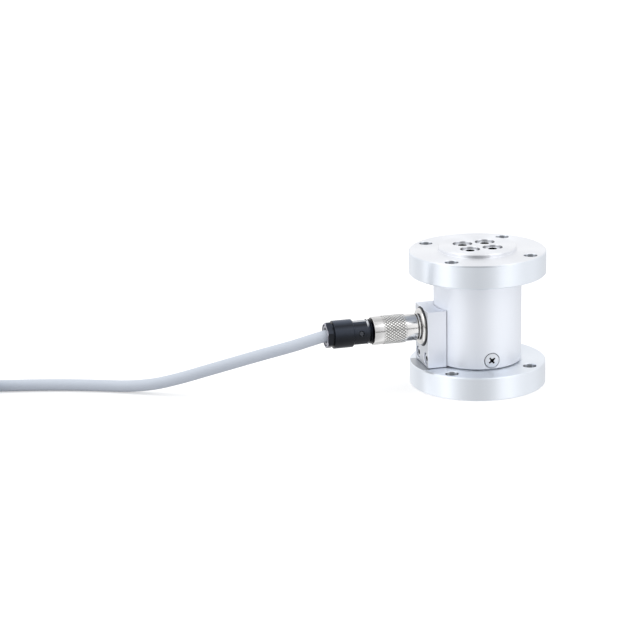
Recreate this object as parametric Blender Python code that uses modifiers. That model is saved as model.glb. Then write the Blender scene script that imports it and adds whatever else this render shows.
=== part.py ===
# Flange torque sensor: two bolted flanges joined by a strain-gauged torsion body inside a tube,
# with a side block, a round push-pull connector and a cable. Metres, +Z up.
# The origin is the centre of the flat base. The connector points along -X.
import math

import bmesh
import bpy
import numpy as np
from mathutils import Matrix, Vector

# Clearance kept between pieces that seat on each other
SEAT_GAP = 0.0003

# Flanges
FLANGE_DIAMETER = 0.070
FLANGE_THICKNESS = 0.012
FLANGE_EDGE = 0.0005
BODY_HEIGHT = 0.070
BOLT_INSET = 0.0055
BOLT_HOLE = 0.0066
HOLE_EDGE = 0.0004
DRILL_POINT = 0.0014
BOSS_DIAMETER = 0.040
BOSS_HEIGHT = 0.002
QUARTER_ANGLES = [math.radians(45 + 90 * k) for k in range(4)]

# Torsion body inside the tube
REGISTER_DEPTH = 0.001
HUB_CLEARANCE = 0.002
HUB_LENGTH = 0.010
HUB_EDGE = 0.0004
HUB_STEP = 0.004
WAIST_FILLET = 0.003
SHAFT_BORE = 0.008
FLAT_CUT = 0.00175
FLAT_LENGTH = 0.016
FLAT_RUNOUT = 0.002

# Strain gauges and the bridge board
GAUGE_LENGTH = 0.008
GAUGE_WIDTH = 0.007
GAUGE_THICKNESS = 0.0004
GAUGE_CORNER = 0.001
BOARD_THICKNESS = 0.0016
BOARD_RIM = 0.0006
BOARD_OVERHANG = 0.0015

# Wires from the board to the contacts
WIRE_DIAMETER = 0.0008
WIRE_STEP = 0.0016
LOW_WIRE_SPREAD = 0.0038
LOW_WIRE_TURN_SPREAD = 0.0023
HIGH_WIRE_INSET = 0.0005
WIRE_RISE = 0.0029
WIRE_TURN_INSET = 0.0014
WIRE_SAG = 0.0008
WIRE_STRAIGHT = 0.0012

# Cap screws that hold the torsion body
SCREW_CIRCLE = 0.017
SCREW_HEAD = 0.0085
SCREW_HEAD_HEIGHT = 0.005
SCREW_SHANK = 0.005
SCREW_SOCKET = 0.004
SCREW_SOCKET_DEPTH = 0.0025
SCREW_EDGE = 0.0004
SOCKET_POINT = 0.0004
SCREW_SINK = 0.0011
COUNTERBORE = 0.010
COUNTERBORE_EDGE = 0.0002
TOP_SCREW_LENGTH = 0.014
BASE_SCREW_LENGTH = 0.012
THREAD_GAP = 0.0003
TAP_EXTRA = 0.001

# Tube between the flanges, its spigots and its ring seals
COVER_DIAMETER = 0.045
COVER_WALL = 0.0025
COVER_EDGE = 0.0003
COVER_FOOT_GAP = 0.0007
COVER_HEAD_GAP = 0.0004
LOWER_SPIGOT_HEIGHT = 0.0095
UPPER_SPIGOT_HEIGHT = 0.007
SPIGOT_WALL = 0.0037
SEAL_SECTION = 0.0014
SEAL_INSET = 0.0009

# Countersunk screws that hold the tube
COVER_SCREW_HEAD = 0.0074
COVER_SCREW_RIM = 0.0003
COVER_SCREW_SHANK = 0.004
COVER_SCREW_LENGTH = 0.0058
COVER_SCREW_HEIGHT = 0.0044
COVER_SCREW_SINK = 0.0001
COVER_SCREW_CLEARANCE = 0.0004
CROSS_LENGTH = 0.0044
CROSS_WIDTH = 0.0010
CROSS_DEPTH = 0.0013
CROSS_TURN = math.radians(38)
COVER_SCREW_ANGLES = [math.radians(a) for a in (-90, 0, 90)]

# Connector block
BLOCK_DEPTH = 0.0076
BLOCK_WIDTH = 0.021
BLOCK_TOP = 0.042
BLOCK_EDGE = 0.00035
CONNECTOR_HEIGHT = 0.032
WIRE_HOLE = 0.009

# Socket screws that hold the block
BLOCK_SCREW_SPREAD = 0.013
BLOCK_SCREW_HEIGHT = 0.0165
BLOCK_SCREW_HEAD = 0.0055
BLOCK_SCREW_HEAD_HEIGHT = 0.003
BLOCK_SCREW_SHANK = 0.003
BLOCK_SCREW_LENGTH = 0.010
BLOCK_SCREW_SOCKET = 0.0025
BLOCK_SCREW_SOCKET_DEPTH = 0.0015
BLOCK_SCREW_SINK = 0.0006
BLOCK_COUNTERBORE = 0.0063

# Receptacle, measured from the block's face along the connector
RING_DIAMETER = 0.0191
RING_THICKNESS = 0.0016
RING_GROOVE_DIAMETER = 0.0125
RING_GROOVE_WIDTH = 0.0005
COLLAR_DIAMETER = 0.014
COLLAR_WIDTH = 0.0006
STEM_DIAMETER = 0.0135
STEM_CLEARANCE = 0.0025
BARREL_DIAMETER = 0.0114
BARREL_BORE = 0.0098
BARREL_LENGTH = 0.0089
INSERT_FLANGE = 0.0014
INSERT_LIP = 0.0014
INSERT_FRONT = 0.0012

# Contacts
PIN_DIAMETER = 0.001
PIN_TIP_DIAMETER = 0.0006
PIN_PITCH = 0.0032
PIN_REAR = 0.0008
PIN_LENGTH = 0.0153

# Plug: locking sleeve
SLEEVE_START = 0.0006
SLEEVE_FRONT_DIAMETER = 0.0137
SLEEVE_FRONT_LENGTH = 0.0059
KNURL_DIAMETER = 0.0148
KNURL_LENGTH = 0.0122
SLEEVE_REAR_DIAMETER = 0.0145
SLEEVE_REAR_LENGTH = 0.005
SLEEVE_BORE = 0.0122
SLEEVE_REAR_BORE = 0.0134
SLEEVE_TRAVEL = 0.002
SLEEVE_EDGE = 0.0003

# Plug: inner body and contact insert
NOSE_BORE = 0.0078
PLUG_BODY_BORE = 0.0092
SHOULDER_GAP = 0.001
PLUG_INSERT_LENGTH = 0.015
PLUG_INSERT_FLANGE = 0.0021
SOCKET_DEPTH = 0.009

# Plug: back shell
SHELL_RING_DIAMETER = 0.0126
SHELL_RING_WIDTH = 0.0009
NECK_DIAMETER = 0.0098
NECK_LENGTH = 0.0003
SHOULDER_LENGTH = 0.0022
SHELL_DIAMETER = 0.0132
SHELL_LENGTH = 0.0066
GRIP_DIAMETER = 0.0143
GRIP_LENGTH = 0.0103
GRIP_STEP = 0.0005
SHELL_ACROSS_FLATS = 0.0115
SHELL_ROLL = math.radians(9)
SHELL_TAIL_LENGTH = 0.007
SHELL_THROAT = 0.0058
SHELL_CAVITY = 0.0098
SHELL_THREAD = 0.0112
SET_SCREW_HOLE = 0.0029
SET_SCREW_PLACE = 0.0031
SET_SCREW_SINK = 0.0003
SET_SCREW_SLOT_WIDTH = 0.0005
SET_SCREW_SLOT_DEPTH = 0.0006

# Plug: clamp nut, gland and washer
NUT_DIAMETER = 0.0134
NUT_ACROSS_FLATS = 0.0121
NUT_LENGTH = 0.0027
NUT_ROLL = math.radians(-4)
NUT_EDGE = 0.0004
NUT_GROOVE_DIAMETER = 0.0112
NUT_GROOVE_WIDTH = 0.0007
NUT_TAIL_LENGTH = 0.0047
NUT_BORE = 0.0072
WASHER_SEAT = 0.0110
WASHER_THICKNESS = 0.0016
WASHER_SINK = 0.0002
WASHER_BORE = 0.0078
BUSH_LENGTH = 0.0047

# Cable
CABLE_DIAMETER = 0.006
CABLE_GRIP = 0.015
CABLE_STEP = 0.0132
TAIL_STEP = 0.012
ROUTE_SAMPLES = 24
CABLE_ROUTE = [
    (-0.0806, 0.0000, 0.0318), (-0.0845, 0.0001, 0.0310), (-0.0900, 0.0006, 0.0296),
    (-0.0970, 0.0018, 0.0276), (-0.1060, 0.0042, 0.0251), (-0.1170, 0.0084, 0.0216),
    (-0.1280, 0.0131, 0.0178), (-0.1395, 0.0187, 0.0136), (-0.1510, 0.0246, 0.0093),
    (-0.1620, 0.0303, 0.0058), (-0.1705, 0.0350, 0.0041), (-0.1790, 0.0396, 0.0032),
    (-0.1900, 0.0451, 0.0030), (-0.2070, 0.0520, 0.0030), (-0.2230, 0.0570, 0.0030),
    (-0.2400, 0.0617, 0.0030), (-0.2541, 0.0664, 0.0032),
]
COIL_CENTRE = (-0.289, 0.036)
COIL_MIDDLE_RADIUS = 0.0345
COIL_COLUMNS = 3
COIL_ROWS = 4
TIE_THICKNESS = 0.0007
TIE_WIDTH = 0.004
TIE_ANGLE = math.radians(125)
TAIL_GAP = 0.0004
TAIL_DESCENT = [(172, 0.0215), (184, 0.0203), (196, 0.0175), (208, 0.0137), (220, 0.0096), (231, 0.0063),
                (241, 0.0043), (250, 0.0035)]
END_SLEEVE_DIAMETER = 0.0068
END_SLEEVE_LENGTH = 0.012
END_SLEEVE_TIP_DIAMETER = 0.0048
END_SLEEVE_TAPER = 0.0036
END_LEAD_DIAMETER = 0.0013
END_LEAD_LENGTH = 0.022
END_LEAD_STEP = 0.0052
END_LEAD_SPREAD = 0.0044
END_LEAD_SPLAY = 0.017
END_LEAD_ARCH = 0.0004

# Segments round a full turn
FINE_STEPS = 40
MEDIUM_STEPS = 24
HOLE_STEPS = 12
SMALL_STEPS = 12
TINY_STEPS = 6

# Overshoot of a cutter beyond the face that it enters
REACH = 0.001

# Heights and radii that follow from the sizes above
UPPER_FACE = BODY_HEIGHT
UPPER_UNDERSIDE = BODY_HEIGHT - FLANGE_THICKNESS
BOSS_FACE = BODY_HEIGHT + BOSS_HEIGHT
LOWER_FACE = FLANGE_THICKNESS
SHAFT_FOOT = LOWER_FACE - REGISTER_DEPTH + SEAT_GAP
SHAFT_HEAD = UPPER_UNDERSIDE + REGISTER_DEPTH - SEAT_GAP
BOLT_CIRCLE = FLANGE_DIAMETER - 2 * BOLT_INSET
COVER_RADIUS = COVER_DIAMETER / 2
COVER_BORE_RADIUS = COVER_RADIUS - COVER_WALL
SPIGOT_RADIUS = COVER_BORE_RADIUS - SEAT_GAP
SPIGOT_BORE_RADIUS = SPIGOT_RADIUS - SPIGOT_WALL
HUB_RADIUS = SPIGOT_BORE_RADIUS - HUB_CLEARANCE
HUB_SEAT_RADIUS = HUB_RADIUS + SEAT_GAP
WAIST_RADIUS = HUB_RADIUS - HUB_STEP
FLAT_REACH = WAIST_RADIUS - FLAT_CUT
COVER_FOOT = LOWER_FACE + COVER_FOOT_GAP
COVER_HEAD = UPPER_UNDERSIDE - COVER_HEAD_GAP
HEAD_SEAT_DEPTH = SCREW_HEAD_HEIGHT + SCREW_SINK
COVER_SCREW_Z = COVER_FOOT + COVER_SCREW_HEIGHT
BOARD_FOOT = LOWER_FACE + LOWER_SPIGOT_HEIGHT + SEAT_GAP
BOARD_HEAD = BOARD_FOOT + BOARD_THICKNESS

# Stations along the connector, measured from the sensor's own axis
BLOCK_REACH = COVER_RADIUS + BLOCK_DEPTH
RING_BACK = BLOCK_REACH + SEAT_GAP
STEM_BACK = COVER_RADIUS + STEM_CLEARANCE
RING_FRONT = RING_BACK + RING_THICKNESS
COLLAR_BACK = RING_FRONT + RING_GROOVE_WIDTH
COLLAR_FRONT = COLLAR_BACK + COLLAR_WIDTH
BARREL_FRONT = COLLAR_FRONT + BARREL_LENGTH
SLEEVE_FRONT = COLLAR_FRONT + SLEEVE_START
KNURL_FRONT = SLEEVE_FRONT + SLEEVE_FRONT_LENGTH
KNURL_BACK = KNURL_FRONT + KNURL_LENGTH
SLEEVE_BACK = KNURL_BACK + SLEEVE_REAR_LENGTH
PIN_TAIL = STEM_BACK - PIN_REAR
SHELL_FRONT = SLEEVE_BACK + SEAT_GAP
NECK_FRONT = SHELL_FRONT + SHELL_RING_WIDTH
SHOULDER_FRONT = NECK_FRONT + NECK_LENGTH
SHELL_PLAIN = SHOULDER_FRONT + SHOULDER_LENGTH
GRIP_FRONT = SHELL_PLAIN + SHELL_LENGTH
SHELL_BACK = GRIP_FRONT + GRIP_LENGTH
NUT_FRONT = SHELL_BACK + SEAT_GAP
NUT_RIM = NUT_FRONT + NUT_GROOVE_WIDTH
NUT_BACK = NUT_RIM + NUT_LENGTH
WASHER_BACK = NUT_BACK - WASHER_SINK
WASHER_FRONT = WASHER_BACK - WASHER_THICKNESS
BUSH_BACK = NUT_FRONT - NUT_TAIL_LENGTH - SEAT_GAP
INSERT_FACE = RING_BACK + INSERT_FRONT
PLUG_BODY_FRONT = INSERT_FACE + 2 * SEAT_GAP
PLUG_INSERT_FACE = PLUG_BODY_FRONT + SEAT_GAP
PLUG_INSERT_STEP = PLUG_INSERT_FACE + PLUG_INSERT_LENGTH
PLUG_INSERT_BACK = PLUG_INSERT_STEP + PLUG_INSERT_FLANGE
SHELL_TAIL_END = SHELL_FRONT - SHELL_TAIL_LENGTH
COIL_LIFT = TIE_THICKNESS + SEAT_GAP
COIL_WIDTH = COIL_COLUMNS * CABLE_DIAMETER
COIL_HEIGHT = COIL_ROWS * CABLE_DIAMETER
TAIL_RADIUS = COIL_MIDDLE_RADIUS + COIL_WIDTH / 2 + TAIL_GAP + CABLE_DIAMETER / 2


def clear_scene():
    for obj in list(bpy.data.objects):
        bpy.data.objects.remove(obj, do_unlink=True)


def new_collection(name):
    collection = bpy.data.collections.new(name)
    bpy.context.scene.collection.children.link(collection)
    return collection


clear_scene()
PARTS = new_collection("flange_torque_sensor")
CUTTERS = new_collection("cutters")


# General helpers

def add_object(name, data, collection):
    obj = bpy.data.objects.new(name, data)
    collection.objects.link(obj)
    if collection is CUTTERS:
        obj.hide_render = True
        obj.display_type = "WIRE"
    return obj


def coat(obj, colour, roughness, metallic):
    material = bpy.data.materials.new(obj.name + "_finish")
    material.use_nodes = True
    shader = material.node_tree.nodes["Principled BSDF"]
    shader.inputs["Base Color"].default_value = (*colour, 1.0)
    shader.inputs["Roughness"].default_value = roughness
    shader.inputs["Metallic"].default_value = metallic
    obj.data.materials.clear()
    obj.data.materials.append(material)


def turned(name, profile, steps, collection=None, closed=False):
    # profile: (radius, height) points, running down the outer side from top to bottom
    count = len(profile)
    edges = [(i, i + 1) for i in range(count - 1)]
    if closed:
        edges.append((count - 1, 0))
    mesh = bpy.data.meshes.new(name)
    mesh.from_pydata([(radius, 0.0, height) for radius, height in profile], edges, [])
    obj = add_object(name, mesh, collection or PARTS)
    screw = obj.modifiers.new("turn", "SCREW")
    screw.axis = "Z"
    screw.angle = 2 * math.pi
    screw.steps = steps
    screw.render_steps = steps
    screw.use_merge_vertices = True
    screw.merge_threshold = 0.00001
    return obj


def arc(centre, radius, start, end, count):
    # points on an arc in the profile plane, angles in degrees
    points = []
    for k in range(count + 1):
        angle = math.radians(start + (end - start) * k / count)
        points.append((centre[0] + radius * math.cos(angle), centre[1] + radius * math.sin(angle)))
    return points


def box_mesh(name, low, high):
    bm = bmesh.new()
    bmesh.ops.create_cube(bm, size=1.0)
    low, high = Vector(low), Vector(high)
    for vert in bm.verts:
        for axis in range(3):
            vert.co[axis] = low[axis] if vert.co[axis] < 0 else high[axis]
    mesh = bpy.data.meshes.new(name)
    bm.to_mesh(mesh)
    bm.free()
    return mesh


def box(name, low, high, collection=None):
    return add_object(name, box_mesh(name, low, high), collection or PARTS)


def cut(target, tool, operation="DIFFERENCE"):
    boolean = target.modifiers.new("cut", "BOOLEAN")
    boolean.operation = operation
    boolean.solver = "EXACT"
    boolean.object = tool


def bake(obj, sharp_angle=35):
    # turns the modifiers into the object's own mesh, then shades its round faces smooth
    bpy.context.view_layer.update()
    depsgraph = bpy.context.evaluated_depsgraph_get()
    mesh = bpy.data.meshes.new_from_object(obj.evaluated_get(depsgraph))
    obj.modifiers.clear()
    obj.data = mesh
    mesh.name = obj.name
    mesh.shade_smooth()
    mesh.set_sharp_from_angle(angle=math.radians(sharp_angle))
    return obj


def along_connector(obj, roll=0.0):
    # local +Z becomes the connector's direction, local +X becomes up
    obj.rotation_euler = (Matrix.Rotation(-math.pi / 2, 3, "Y") @ Matrix.Rotation(roll, 3, "Z")).to_euler()
    obj.location = (0.0, 0.0, CONNECTOR_HEIGHT)
    return obj


def upright(obj, radius, angle, height):
    obj.location = (radius * math.cos(angle), radius * math.sin(angle), height)
    return obj


def aim_from_shell(obj):
    # local +Z leaves the back shell sideways, towards -Y, turned with the shell
    turn = Matrix.Rotation(math.pi / 2 - SHELL_ROLL, 3, "X")
    obj.rotation_euler = turn.to_euler()
    obj.location = (-SHELL_PLAIN - SET_SCREW_PLACE, 0.0, CONNECTOR_HEIGHT)


def facing_out(obj, angle, radius, height, roll=0.0):
    # local +Z points away from the sensor's axis
    tilt = Matrix.Rotation(math.pi / 2, 3, "Y") @ Matrix.Rotation(roll, 3, "Z")
    obj.rotation_euler = (Matrix.Rotation(angle, 3, "Z") @ tilt).to_euler()
    obj.location = (radius * math.cos(angle), radius * math.sin(angle), height)
    return obj


def copy_of(source, name):
    return add_object(name, source.data, PARTS)


def through_hole(name, radius, low, high, edge, steps):
    # a drill with a chamfer where it enters and leaves
    mouth = radius + edge + REACH
    profile = [(0, high + REACH), (mouth, high + REACH), (radius, high - edge),
               (radius, low + edge), (mouth, low - REACH), (0, low - REACH)]
    return turned(name, profile, steps, CUTTERS)


def counterbore_drill(name, hole, bore, seat, mouth, end, steps):
    # a stepped drill along local +Z: bore from seat to mouth, hole from end to seat
    wide = bore + COUNTERBORE_EDGE + REACH
    profile = [(0, mouth + REACH), (wide, mouth + REACH), (bore, mouth - COUNTERBORE_EDGE),
               (bore, seat), (hole, seat), (hole, end), (0, end)]
    return turned(name, profile, steps, CUTTERS)


# Screws

def socket_screw(name, head, head_height, shank, length, socket, socket_depth, steps):
    # underside of the head at the local origin, shank along -Z
    rim, core = head / 2, shank / 2
    profile = [(0, head_height), (rim - SCREW_EDGE, head_height), (rim, head_height - SCREW_EDGE),
               (rim, 0), (core, 0), (core, SCREW_EDGE - length), (core - SCREW_EDGE, -length),
               (0, -length)]
    screw = turned(name, profile, steps)
    corner = socket / math.sqrt(3)
    floor = head_height - socket_depth
    key = turned(name + "_key", [(0, head_height + REACH), (corner, head_height + REACH), (corner, floor),
                                 (0, floor - SOCKET_POINT)], 6, CUTTERS)
    cut(screw, key)
    return bake(screw)


def place_cap_screws():
    depth = HEAD_SEAT_DEPTH - SEAT_GAP
    for prefix, length, seat, flip in (("top_cap_screw_", TOP_SCREW_LENGTH, BOSS_FACE - depth, 0.0),
                                       ("base_cap_screw_", BASE_SCREW_LENGTH, depth, math.pi)):
        first = None
        for number, angle in enumerate(QUARTER_ANGLES, 1):
            name = prefix + str(number)
            if first is None:
                first = socket_screw(name, SCREW_HEAD, SCREW_HEAD_HEIGHT, SCREW_SHANK, length,
                                     SCREW_SOCKET, SCREW_SOCKET_DEPTH, SMALL_STEPS)
                coat(first, (0.70, 0.71, 0.74), 0.28, 1.0)
                screw = first
            else:
                screw = copy_of(first, name)
            upright(screw, SCREW_CIRCLE / 2, angle, seat)
            screw.rotation_euler = (flip, 0.0, 0.0)


def place_cover_screws():
    first = None
    head, shank = COVER_SCREW_HEAD / 2, COVER_SCREW_SHANK / 2
    cone_end = -COVER_SCREW_RIM - (head - shank)
    for number, angle in enumerate(COVER_SCREW_ANGLES, 1):
        name = "cover_screw_" + str(number)
        if first is None:
            profile = [(0, 0), (head, 0), (head, -COVER_SCREW_RIM), (shank, cone_end),
                       (shank, -COVER_SCREW_LENGTH), (0, -COVER_SCREW_LENGTH)]
            first = turned(name, profile, SMALL_STEPS)
            for turn in (0.0, math.pi / 2):
                slot = box("cover_screw_slot", (-CROSS_LENGTH / 2, -CROSS_WIDTH / 2, -CROSS_DEPTH),
                           (CROSS_LENGTH / 2, CROSS_WIDTH / 2, REACH), CUTTERS)
                slot.rotation_euler = (0.0, 0.0, turn)
                cut(first, slot)
            bake(first)
            coat(first, (0.62, 0.64, 0.67), 0.32, 1.0)
            screw = first
        else:
            screw = copy_of(first, name)
        facing_out(screw, angle, COVER_RADIUS - COVER_SCREW_SINK, COVER_SCREW_Z, CROSS_TURN)


def block_screw_sides():
    return (-BLOCK_SCREW_SPREAD / 2, BLOCK_SCREW_SPREAD / 2)


def block_screw_seat():
    return BLOCK_REACH - BLOCK_SCREW_SINK - BLOCK_SCREW_HEAD_HEIGHT


def place_block_screws():
    first = None
    for number, side in enumerate(block_screw_sides(), 1):
        name = "block_screw_" + str(number)
        if first is None:
            first = socket_screw(name, BLOCK_SCREW_HEAD, BLOCK_SCREW_HEAD_HEIGHT, BLOCK_SCREW_SHANK,
                                 BLOCK_SCREW_LENGTH, BLOCK_SCREW_SOCKET, BLOCK_SCREW_SOCKET_DEPTH,
                                 SMALL_STEPS)
            coat(first, (0.62, 0.64, 0.67), 0.3, 1.0)
            screw = first
        else:
            screw = copy_of(first, name)
        screw.rotation_euler = (0.0, -math.pi / 2, 0.0)
        screw.location = (-block_screw_seat(), side, BLOCK_SCREW_HEIGHT)


# Flanges

def seal_groove(spigot_end, flange_face):
    # heights of the ring seal's groove, midway between the flange and the screws
    middle = flange_face + (SEAL_INSET + SEAL_SECTION / 2) * (1 if spigot_end > flange_face else -1)
    half = SEAL_SECTION / 2 + SEAT_GAP
    floor = COVER_BORE_RADIUS - 2 * SEAT_GAP - SEAL_SECTION
    return middle, half, floor


def bolt_holes(flange, low, high):
    for angle in QUARTER_ANGLES:
        drill = through_hole("bolt_drill", BOLT_HOLE / 2, low, high, HOLE_EDGE, HOLE_STEPS)
        upright(drill, BOLT_CIRCLE / 2, angle, 0.0)
        cut(flange, drill)


def cap_screw_holes(flange, face, floor):
    # face: where the heads sink in, floor: where the torsion body sits
    sign = 1 if face > floor else -1
    depth = abs(face - floor)
    for angle in QUARTER_ANGLES:
        drill = counterbore_drill("cap_screw_drill", SCREW_SHANK / 2 + THREAD_GAP, COUNTERBORE / 2,
                                  -HEAD_SEAT_DEPTH, 0.0, -depth - REACH, HOLE_STEPS)
        upright(drill, SCREW_CIRCLE / 2, angle, face)
        if sign < 0:
            drill.rotation_euler = (math.pi, 0.0, 0.0)
        cut(flange, drill)


def tapped_side_hole(target, angle, height, diameter, inner):
    radius = diameter / 2
    profile = [(0, COVER_RADIUS), (radius, COVER_RADIUS), (radius, inner), (0, inner)]
    drill = turned("tap_drill", profile, SMALL_STEPS, CUTTERS)
    facing_out(drill, angle, 0.0, height)
    cut(target, drill)


def block_screw_drill(target, diameter, inner):
    # clearance for the block's two screws, which run along X
    radius = diameter / 2
    profile = [(0, BLOCK_REACH), (radius, BLOCK_REACH), (radius, inner), (0, inner)]
    for side in block_screw_sides():
        drill = turned("block_screw_drill", profile, SMALL_STEPS, CUTTERS)
        drill.rotation_euler = (0.0, -math.pi / 2, 0.0)
        drill.location = (0.0, side, BLOCK_SCREW_HEIGHT)
        cut(target, drill)


def build_lower_flange():
    top = LOWER_FACE + LOWER_SPIGOT_HEIGHT
    rim = FLANGE_DIAMETER / 2
    middle, half, floor = seal_groove(top, LOWER_FACE)
    profile = [
        (0, LOWER_FACE - REGISTER_DEPTH), (HUB_SEAT_RADIUS, LOWER_FACE - REGISTER_DEPTH),
        (HUB_SEAT_RADIUS, LOWER_FACE), (SPIGOT_BORE_RADIUS, LOWER_FACE), (SPIGOT_BORE_RADIUS, top),
        (SPIGOT_RADIUS - FLANGE_EDGE, top), (SPIGOT_RADIUS, top - FLANGE_EDGE),
        (SPIGOT_RADIUS, middle + half), (floor, middle + half), (floor, middle - half),
        (SPIGOT_RADIUS, middle - half), (SPIGOT_RADIUS, LOWER_FACE), (rim - FLANGE_EDGE, LOWER_FACE),
        (rim, LOWER_FACE - FLANGE_EDGE), (rim, FLANGE_EDGE), (rim - FLANGE_EDGE, 0), (0, 0),
    ]
    flange = turned("lower_flange", profile, FINE_STEPS)
    bolt_holes(flange, 0.0, LOWER_FACE)
    cap_screw_holes(flange, 0.0, LOWER_FACE - REGISTER_DEPTH)
    for angle in COVER_SCREW_ANGLES:
        tapped_side_hole(flange, angle, COVER_SCREW_Z, COVER_SCREW_SHANK + 2 * THREAD_GAP,
                         SPIGOT_BORE_RADIUS - REACH)
    block_screw_drill(flange, BLOCK_SCREW_SHANK + 2 * THREAD_GAP, HUB_SEAT_RADIUS - REACH)
    bake(flange)
    coat(flange, (0.86, 0.87, 0.89), 0.22, 1.0)


def build_upper_flange():
    end = UPPER_UNDERSIDE - UPPER_SPIGOT_HEIGHT
    rim = FLANGE_DIAMETER / 2
    boss = BOSS_DIAMETER / 2
    middle, half, floor = seal_groove(end, UPPER_UNDERSIDE)
    profile = [
        (0, BOSS_FACE), (boss - FLANGE_EDGE, BOSS_FACE), (boss, BOSS_FACE - FLANGE_EDGE), (boss, UPPER_FACE),
        (rim - FLANGE_EDGE, UPPER_FACE), (rim, UPPER_FACE - FLANGE_EDGE),
        (rim, UPPER_UNDERSIDE + FLANGE_EDGE), (rim - FLANGE_EDGE, UPPER_UNDERSIDE),
        (SPIGOT_RADIUS, UPPER_UNDERSIDE), (SPIGOT_RADIUS, middle + half), (floor, middle + half),
        (floor, middle - half), (SPIGOT_RADIUS, middle - half), (SPIGOT_RADIUS, end + FLANGE_EDGE),
        (SPIGOT_RADIUS - FLANGE_EDGE, end), (SPIGOT_BORE_RADIUS, end), (SPIGOT_BORE_RADIUS, UPPER_UNDERSIDE),
        (HUB_SEAT_RADIUS, UPPER_UNDERSIDE), (HUB_SEAT_RADIUS, UPPER_UNDERSIDE + REGISTER_DEPTH),
        (0, UPPER_UNDERSIDE + REGISTER_DEPTH),
    ]
    flange = turned("upper_flange", profile, FINE_STEPS)
    bolt_holes(flange, UPPER_UNDERSIDE, UPPER_FACE)
    cap_screw_holes(flange, BOSS_FACE, UPPER_UNDERSIDE + REGISTER_DEPTH)
    bake(flange)
    coat(flange, (0.88, 0.89, 0.91), 0.2, 1.0)


def build_ring_seal(name, spigot_end, flange_face):
    middle, _, floor = seal_groove(spigot_end, flange_face)
    centre = (floor + SEAT_GAP + SEAL_SECTION / 2, middle)
    section = arc(centre, SEAL_SECTION / 2, 90, -270, 6)[:-1]
    seal = bake(turned(name, section, MEDIUM_STEPS, closed=True))
    coat(seal, (0.03, 0.03, 0.035), 0.6, 0.0)


# Torsion body with its gauges

def milled_flat(target, angle):
    # a flat milled across the waist, its ends run out on the cutter's corner radius
    middle = (SHAFT_FOOT + SHAFT_HEAD) / 2
    inner, outer = FLAT_REACH, WAIST_RADIUS + REACH
    side, end = WAIST_RADIUS, FLAT_LENGTH / 2
    tool = box("flat_mill", (inner, -side, -end), (outer, side, end), CUTTERS)
    bm = bmesh.new()
    bm.from_mesh(tool.data)
    ends = [e for e in bm.edges if all(v.co.x < (inner + outer) / 2 for v in e.verts)
            and abs(e.verts[0].co.y - e.verts[1].co.y) > side]
    bmesh.ops.bevel(bm, geom=ends, offset=FLAT_RUNOUT, segments=3, profile=0.5, affect="EDGES")
    bm.to_mesh(tool.data)
    bm.free()
    tool.rotation_euler = (0.0, 0.0, angle)
    tool.location = (0.0, 0.0, middle)
    cut(target, tool)


def tapped_end_hole(target, angle, end, depth, sign):
    diameter = SCREW_SHANK + 2 * THREAD_GAP
    profile = [(0, REACH), (diameter / 2, REACH), (diameter / 2, -depth), (0, -depth - DRILL_POINT)]
    drill = turned("hub_drill", profile, SMALL_STEPS, CUTTERS)
    upright(drill, SCREW_CIRCLE / 2, angle, end)
    if sign < 0:
        drill.rotation_euler = (math.pi, 0.0, 0.0)
    cut(target, drill)


def build_sensing_element():
    hub, waist, bore = HUB_RADIUS, WAIST_RADIUS, SHAFT_BORE / 2
    top, low = SHAFT_HEAD - HUB_LENGTH, SHAFT_FOOT + HUB_LENGTH
    profile = [(hub - HUB_EDGE, SHAFT_HEAD), (hub, SHAFT_HEAD - HUB_EDGE), (hub, top)]
    profile += arc((waist + WAIST_FILLET, top - WAIST_FILLET), WAIST_FILLET, 90, 180, 4)
    profile += arc((waist + WAIST_FILLET, low + WAIST_FILLET), WAIST_FILLET, 180, 270, 4)
    profile += [(hub, low), (hub, SHAFT_FOOT + HUB_EDGE), (hub - HUB_EDGE, SHAFT_FOOT),
                (bore, SHAFT_FOOT), (bore, SHAFT_HEAD)]
    element = turned("sensing_element", profile, MEDIUM_STEPS, closed=True)
    top_grip = TOP_SCREW_LENGTH - (BOSS_FACE - HEAD_SEAT_DEPTH + SEAT_GAP - SHAFT_HEAD)
    base_grip = BASE_SCREW_LENGTH - (SHAFT_FOOT - HEAD_SEAT_DEPTH + SEAT_GAP)
    for angle in QUARTER_ANGLES:
        tapped_end_hole(element, angle, SHAFT_HEAD, top_grip + TAP_EXTRA, 1)
        tapped_end_hole(element, angle, SHAFT_FOOT, base_grip + TAP_EXTRA, -1)
        milled_flat(element, angle - math.radians(45))
    bake(element)
    coat(element, (0.62, 0.63, 0.65), 0.3, 1.0)


def build_strain_gauges():
    middle = (SHAFT_FOOT + SHAFT_HEAD) / 2
    inner = FLAT_REACH + SEAT_GAP
    first = None
    for number, angle in enumerate(QUARTER_ANGLES, 1):
        name = "strain_gauge_" + str(number)
        if first is None:
            first = box(name, (inner, -GAUGE_WIDTH / 2, -GAUGE_LENGTH / 2),
                        (inner + GAUGE_THICKNESS, GAUGE_WIDTH / 2, GAUGE_LENGTH / 2))
            bm = bmesh.new()
            bm.from_mesh(first.data)
            corners = [e for e in bm.edges if abs(e.verts[0].co.x - e.verts[1].co.x) > GAUGE_THICKNESS / 2]
            bmesh.ops.bevel(bm, geom=corners, offset=GAUGE_CORNER, segments=1, profile=0.5, affect="EDGES")
            bm.to_mesh(first.data)
            bm.free()
            coat(first, (0.55, 0.35, 0.12), 0.45, 0.2)
            gauge = first
        else:
            gauge = copy_of(first, name)
        gauge.rotation_euler = (0.0, 0.0, angle - math.radians(45))
        gauge.location = (0.0, 0.0, middle)


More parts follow.
